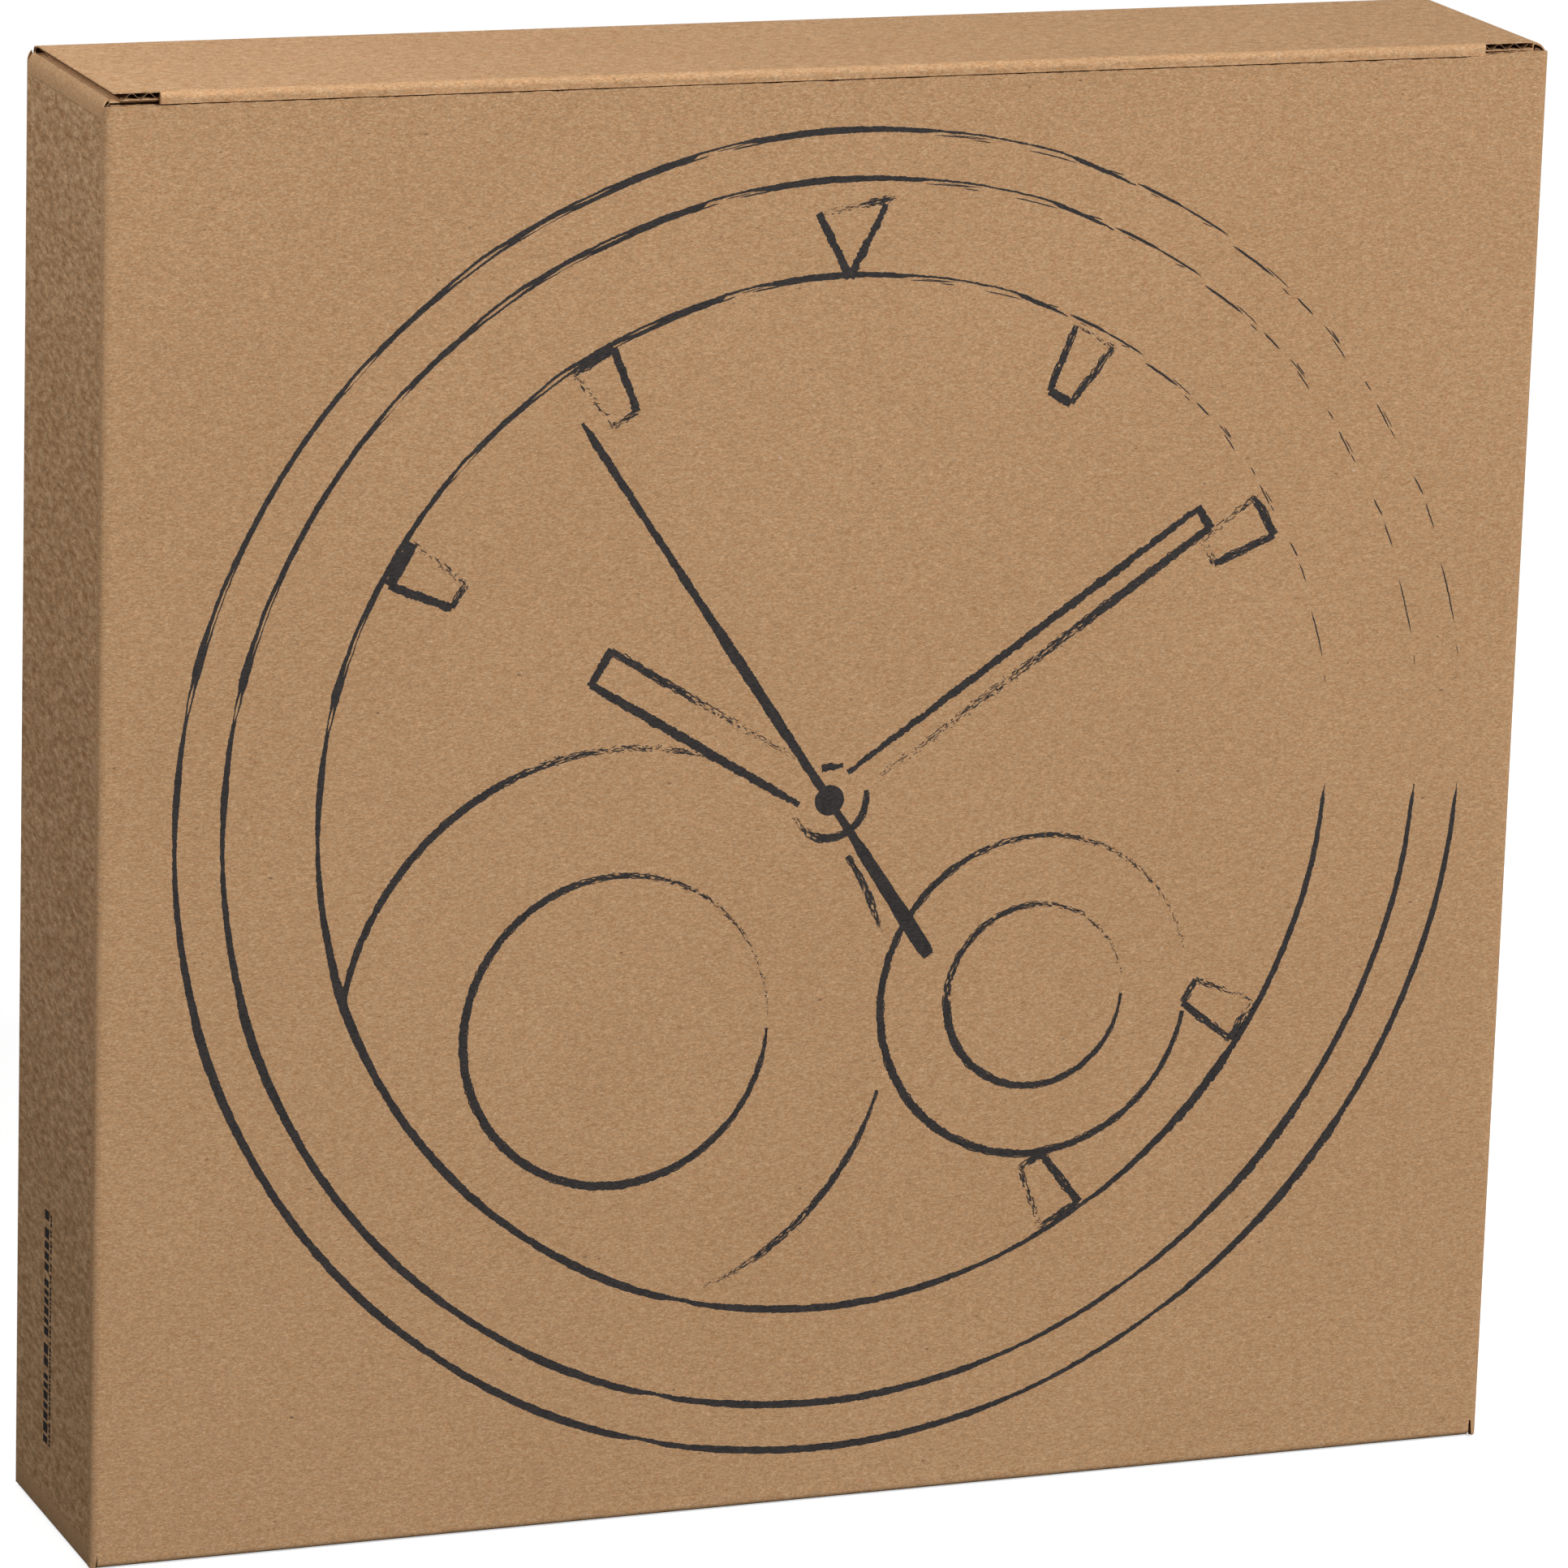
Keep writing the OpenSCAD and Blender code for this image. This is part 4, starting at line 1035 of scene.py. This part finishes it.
def ring_splits(angle):
    """The middle of the ring stroke's split at an angle, and half its width."""
    for start, end, place, width in RING_SPLITS:
        if start < angle < end:
            return place, width / 2 * math.sin(math.pi * (angle - start) / (end - start))
    return 0.5, 0.0


def ring(front, centre, radius, seed):
    """One large circle: two lanes that part where the stroke splits, then its dry end as dashes."""
    front.next_layer()
    first, last = RING_STROKE[0][0], RING_STROKE[-1][0]
    angles = spread(first, last, math.degrees(SMALL_STEP / radius))
    points, normals = rim(centre, radius, angles)
    outer, upper, lower, inner = [], [], [], []
    for a in angles:
        middle, width = eased(RING_STROKE, a)
        u = radius * math.radians(a)
        outer_rag = 0.42 if 122 < a < 135 else 0.16      # the stroke is widest there
        inner_rag = 0.20 if 112 < a < 242 else 0.14
        edge_out = middle + width / 2 + grain(u, seed, outer_rag)
        edge_in = middle - width / 2 + grain(u, seed + 9, inner_rag)
        place, half = ring_splits(a)
        seam = edge_in + (edge_out - edge_in) * place
        outer.append(edge_out)
        upper.append(seam + half)
        lower.append(seam - half)
        inner.append(edge_in)
    front.ribbon(points, normals, outer, upper)
    front.ribbon(points, normals, lower, inner)
    for k, run in enumerate(RING_DASHES):
        dash(front, centre, radius, run, seed + k)


def dash(front, centre, radius, run, seed):
    """A short tapered track of the ring stroke's dry end."""
    front.next_layer()
    start, from_off, end, to_off, width = run
    angles = spread(start, end, math.degrees(SMALL_STEP / radius))
    lefts, rights = [], []
    for i, a in enumerate(angles):
        share = i / (len(angles) - 1)
        half = width / 2 * min(1.0, 0.25 + 4 * share, 0.2 + 4 * (1 - share))
        middle = from_off + (to_off - from_off) * share + grain(a * 2.5, seed, 0.07)
        lefts.append(middle + half)
        rights.append(middle - half)
    front.ribbon(*rim(centre, radius, angles), lefts, rights)


# The sides of an hour marker by its angle: each one's width, then how dry it is where it starts and ends.
# Sides run outwards or clockwise, and come in the order of SIDES.
SIDES = ("outer", "later", "inner", "earlier")
MARKERS = {
    30: ((1.1, 0.62, 0.5), (1.8, 0.12, 0.3), (1.9, 0.0, 0.0), (1.6, 0.0, 0.1)),
    60: ((1.9, 0.1, 0.0), (1.8, 0.1, 0.1), (1.6, 0.7, 0.3), (1.5, 0.6, 0.3)),
    120: ((2.2, 0.6, 0.0), (1.8, 0.0, 0.1), (1.7, 0.1, 0.1), (1.4, 0.3, 0.6)),
    150: ((2.3, 0.1, 0.3), (1.4, 0.3, 0.6), (1.7, 0.0, 0.2), (1.9, 0.1, 0.0)),
    300: ((2.7, 0.0, 0.0), (1.4, 0.42, 0.6), (1.7, 0.1, 0.3), (1.9, 0.0, 0.0)),
    330: ((2.3, 0.25, 0.0), (1.8, 0.0, 0.0), (1.7, 0.45, 0.2), (1.3, 0.5, 0.6)),
}
# A marker's outer and inner side: its distance from the middle of the dial, and half its width.
MARKER_OUTER, MARKER_WIDE = 111.9, 5.0
MARKER_INNER, MARKER_NARROW = 97.2, 2.9


def marker(front, centre, degrees, sides):
    def corner(radius, across):
        return circle_point(centre, radius, degrees, across)

    far = corner(MARKER_OUTER, -MARKER_WIDE), corner(MARKER_OUTER, MARKER_WIDE)
    near = corner(MARKER_INNER, -MARKER_NARROW), corner(MARKER_INNER, MARKER_NARROW)
    ends = {"outer": far, "later": (near[1], far[1]), "inner": near, "earlier": (near[0], far[0])}
    for k, (side, (width, dry_a, dry_b)) in enumerate(zip(SIDES, sides)):
        front.stroke(straight(*ends[side]), [(0, width * 0.9), (0.5, width), (1, width * 0.9)],
                     [(0, dry_a), (1, dry_b)], degrees + k, 0.3)


def triangle(front, centre):
    """The marker at twelve, standing on the innermost circle."""
    tip = (centre[0] + 0.2, centre[1] + 112.2)
    left = (centre[0] - 7.2, centre[1] + 126.2)
    right = (centre[0] + 7.4, centre[1] + 126.8)
    front.stroke(straight(left, tip), [(0, 1.5), (1, 1.9)], seed=21.0, rough=0.34)
    front.stroke(straight((right[0] + 0.4, right[1] + 0.7), tip), [(0, 1.4), (0.6, 1.7), (1, 2.0)],
                 seed=22.0, rough=0.42)
    front.stroke(straight((left[0] + 0.8, left[1] - 0.2), (right[0] + 2.4, right[1] + 2.0)),
                 [(0, 1.0), (0.5, 1.3), (0.85, 2.0), (1, 0.4)],
                 [(0, 0.62), (0.4, 0.5), (0.75, 0.15), (1, 0.35)], 23.0, 0.4)


def hand_outline(front, degrees, reach, width, upper, lower):
    """A hollow hand: its tip and two edges. upper and lower are (start, stroke width, dryness knots)."""
    def at(along, across):
        return circle_point(HUB, along, degrees, across)

    side = 1 if degrees > 180 else -1
    for edge, across, seed in ((upper, side * width / 2, 31.0), (lower, -side * width / 2, 33.0)):
        start, thick, dry = edge
        widths = [(0, thick * 0.75), (0.3, thick), (0.7, thick * 1.1), (1, thick * 0.9)]
        front.stroke(straight(at(start, across), at(reach, across)), widths, dry, seed + degrees * 0.1, 0.3)
    over = width / 2 + 0.4
    front.stroke(straight(at(reach, -over), at(reach, over)), [(0, 1.6), (1, 1.9)],
                 seed=35.0 + degrees, rough=0.3)


def hands(front):
    wet = [(0, 0.0), (1, 0.0)]
    hour_dry = [(0, 0.66), (0.25, 0.55), (0.5, 0.36), (0.75, 0.1), (0.8, 0.0), (1, 0.0)]
    minute_dry = [(0, 0.66), (0.2, 0.54), (0.4, 0.42), (0.55, 0.25), (0.7, 0.03), (1, 0.0)]
    hand_outline(front, 301.5, 61, 8.2, (12, 1.6, hour_dry), (5.6, 1.9, wet))
    hand_outline(front, 55.8, 101, 5.2, (6.5, 1.65, wet), (11, 1.9, minute_dry))
    needle = [(0, 0.8), (0.05, 1.7), (0.3, 1.5), (0.5, 1.8), (0.62, 2.4), (0.75, 2.3), (0.9, 1.9), (1, 1.8)]
    front.stroke(straight(circle_point(HUB, 102, 325.7), HUB), needle, seed=41.0)
    tail = [(0, 1.6), (0.25, 1.9), (0.33, 2.6), (0.6, 2.9), (0.75, 3.4), (0.93, 3.3), (0.98, 2.8), (1, 2.2)]
    front.stroke(straight(HUB, circle_point(HUB, 43, 146.3)), tail, seed=42.0, rough=0.12)
    front.next_layer()
    front.spot(*HUB, 3.3, 43.0, 20, (1.0, 1.0), 0.06)
    front.stroke(straight((HUB[0] - 2.0, HUB[1] + 7.0), (HUB[0] + 2.8, HUB[1] + 7.6)),
                 [(0, 1.4), (0.4, 1.8), (1, 1.0)], seed=44.0, rough=0.4)
    front.stroke(arc(HUB, 8.3, 78, 250), [(0, 1.1), (0.15, 1.6), (0.45, 1.5), (0.7, 1.9), (1, 1.0)],
                 [(0, 0.0), (0.65, 0.0), (0.8, 0.25), (1, 0.66)], 45.0, 0.25)


# The arcs of the two small dials: radius, first and last angle, width knots, dryness knots.
LEFT_DIAL = (DIAL_X - 47.2, DIAL_Z - 47.4)
LEFT_ARCS = [
    (61.5, 279, 382, [(0, 1.4), (0.4, 1.7), (0.8, 1.5), (1, 0.9)],
     [(0, 0.0), (0.5, 0.02), (0.62, 0.25), (0.8, 0.4), (0.86, 0.62), (0.9, 0.25), (0.95, 0.55), (1, 0.75)]),
    (61.8, 55.7, 74, [(0, 1.2), (0.6, 1.7), (1, 0.8)], [(0, 0.02), (0.5, 0.1), (0.85, 0.3), (1, 0.66)]),
    (62.2, 106.4, 160, [(0, 0.7), (0.3, 1.5), (0.7, 1.7), (1, 1.0)],
     [(0, 0.0), (0.45, 0.02), (0.7, 0.2), (0.85, 0.4), (1, 0.66)]),
    (34.0, 93, 377, [(0, 0.6), (0.06, 1.3), (0.3, 1.8), (0.6, 1.8), (0.9, 1.5), (1, 1.1)],
     [(0, 0.0), (0.85, 0.0), (0.92, 0.22), (1, 0.25)]),
    (34.0, 377, 448, [(0, 1.1), (0.5, 0.8), (1, 0.5)], [(0, 0.25), (0.3, 0.4), (0.7, 0.6), (1, 0.68)])]
RIGHT_DIAL = (DIAL_X + 47.9, DIAL_Z - 46.4)
RIGHT_ARCS = [
    (35.4, 100, 362, [(0, 1.0), (0.2, 1.5), (0.5, 1.8), (0.8, 1.5), (1, 1.3)],
     [(0, 0.0), (0.85, 0.0), (0.9, 0.2), (1, 0.2)]),
    (35.4, 362, 437, [(0, 1.3), (0.5, 0.9), (1, 0.7)], [(0, 0.2), (0.2, 0.42), (0.8, 0.6), (1, 0.7)]),
    (20.2, 93, 367, [(0, 0.7), (0.2, 1.3), (0.6, 1.8), (0.9, 1.3), (1, 1.1)],
     [(0, 0.0), (0.6, 0.0), (0.7, 0.15), (0.9, 0.1), (1, 0.25)]),
    (20.2, 367, 440, [(0, 1.1), (1, 0.6)], [(0, 0.3), (0.5, 0.5), (1, 0.7)])]


def sub_dials(front):
    jobs = [(LEFT_DIAL, *job) for job in LEFT_ARCS] + [(RIGHT_DIAL, *job) for job in RIGHT_ARCS]
    for k, (centre, radius, start, end, widths, dry) in enumerate(jobs):
        front.stroke(arc(centre, radius, start, end), widths, dry, 60.0 + 3 * k, 0.26)


CODE_LOW, CODE_HIGH = 17.0, 68.0     # where the printed rows on the left wall begin and end
# Each row: its two edges, its shortest and longest block, and the space between blocks.
CODE_ROWS = ((3.4, 6.6, 1.1, 2.3, 0.7), (1.3, 2.5, 0.5, 1.0, 0.3))


def code_strip():
    """Two unreadable printed rows near the left wall's base: plain blocks, with no lettering."""
    left_x = -HALF_W + SKIN
    strip = Front(lambda y, z, rise: Vector((left_x - rise, y, z)))
    chance = random.Random(11)
    for y_low, y_high, short, long, space in CODE_ROWS:
        z = CODE_LOW
        while z < CODE_HIGH:
            size = short + (long - short) * chance.random()
            gap = space if chance.random() < 0.8 else 2.6 * space
            outline = [strip.at(y, v, -INK_SINK) for y, v in
                       ((y_low, z), (y_high, z), (y_high, z + size), (y_low, z + size))]
            strip.shape.prism(outline, Vector((-INK_RISE - INK_SINK, 0, 0)))
            z += size + gap
    make_piece("printed_code", strip.shape, INK, "carton")


def drawing():
    """The dial on the front wall, as separate pieces of ink."""
    centre = (DIAL_X, DIAL_Z)
    inmost = (DIAL_X - 0.35, DIAL_Z + 0.55)
    rings = [(centre, 144.1, 1.0), (centre, 133.8, 2.0), (inmost, 112.9, 3.0)]      # centre, radius, seed
    marked = (DIAL_X, DIAL_Z + 0.4)
    pieces = {
        "printed_rings": [lambda f, r=r: ring(f, *r) for r in rings],
        "printed_markers": [lambda f: triangle(f, centre)] + [
            lambda f, d=d, s=s: marker(f, marked, d, s) for d, s in MARKERS.items()],
        "printed_hands": [hands],
        "printed_sub_dials": [sub_dials]}
    for name, jobs in pieces.items():
        front = Front()
        for job in jobs:
            job(front)
        make_piece(name, front.shape, INK, "carton", crease=80)


drawing()
code_strip()


# ---- stage, light and camera ----

CAMERA_AT = Vector((-0.6462, -1.6750, 0.6243))
CAMERA_YAW = math.radians(21.14)
CAMERA_DOWN = math.radians(14.723)
CAMERA_ROLL = math.radians(1.788)
CAMERA_LENS = 199.0


def set_camera():
    data = bpy.data.cameras.new("camera")
    data.sensor_width = 36.0
    data.lens = CAMERA_LENS
    camera = bpy.data.objects.new("camera", data)
    bpy.context.scene.collection.objects.link(camera)
    turn = (Matrix.Rotation(-CAMERA_YAW, 4, "Z") @ Matrix.Rotation(math.pi / 2 - CAMERA_DOWN, 4, "X")
            @ Matrix.Rotation(CAMERA_ROLL, 4, "Z"))
    camera.matrix_world = Matrix.Translation(CAMERA_AT) @ turn
    bpy.context.scene.camera = camera


def area_light(name, at, target, size, power):
    data = bpy.data.lights.new(name, "AREA")
    data.shape = "DISK"
    data.size = size
    data.energy = power
    lamp = bpy.data.objects.new(name, data)
    bpy.context.scene.collection.objects.link(lamp)
    lamp.location = at
    lamp.rotation_euler = (Vector(target) - Vector(at)).to_track_quat("-Z", "Y").to_euler()


FLOOR_Z = -0.4
FLOOR_SIZE = 12000.0     # half its width
FLOOR_DEPTH = 20.0


def set_stage():
    """A pale floor that throws no light back onto the carton, so that the side keeps its fall-off."""
    p = Paint("studio_floor")
    tone = p.ramp(p.noise(3.0), (0.3, (0.90, 0.90, 0.90)), (0.7, (0.93, 0.93, 0.93)))
    paper = p.finish(tone, 0.9, None, Emission_Color=(1.0, 1.0, 1.0, 1.0), Emission_Strength=0.62)
    shape = Shape()
    corners = [(-1, -1), (1, -1), (1, 1), (-1, 1)]
    outline = [Vector((x * FLOOR_SIZE, y * FLOOR_SIZE, FLOOR_Z)) for x, y in corners]
    shape.prism(outline, Vector((0, 0, -FLOOR_DEPTH)))
    mesh = bpy.data.meshes.new("floor")
    mesh.from_pydata([v * MM for v in shape.points], [], shape.faces)
    mesh.materials.append(paper)
    floor = bpy.data.objects.new("floor", mesh)
    bpy.context.scene.collection.objects.link(floor)
    floor.visible_diffuse = False
    floor.visible_glossy = False


def set_light():
    """A soft key from the right front, a weak lamp close above the left side, and a pale room."""
    world = bpy.data.worlds.new("studio")
    bpy.context.scene.world = world
    world.use_nodes = True
    tree = world.node_tree
    sky = tree.nodes["Background"]
    ray = tree.nodes.new("ShaderNodeTexCoord")
    split = tree.nodes.new("ShaderNodeSeparateXYZ")
    tree.links.new(ray.outputs["Generated"], split.inputs["Vector"])
    rise = tree.nodes.new("ShaderNodeMapRange")
    tree.links.new(split.outputs["Z"], rise.inputs["Value"])
    for socket, value in (("From Min", -0.25), ("From Max", 0.35), ("To Min", 0.02), ("To Max", 0.27)):
        rise.inputs[socket].default_value = value
    tree.links.new(rise.outputs["Result"], sky.inputs["Strength"])
    sky.inputs["Color"].default_value = (1.0, 1.0, 1.0, 1.0)
    area_light("key", (1.35, -2.55, 1.95), (0, 0, 0.15), 1.0, 97)
    area_light("side_fill", (-0.60, -0.08, 0.72), (-0.16, 0, 0.2), 0.3, 2.2)


set_camera()
set_stage()
set_light()
bpy.context.scene.view_settings.view_transform = "Standard"
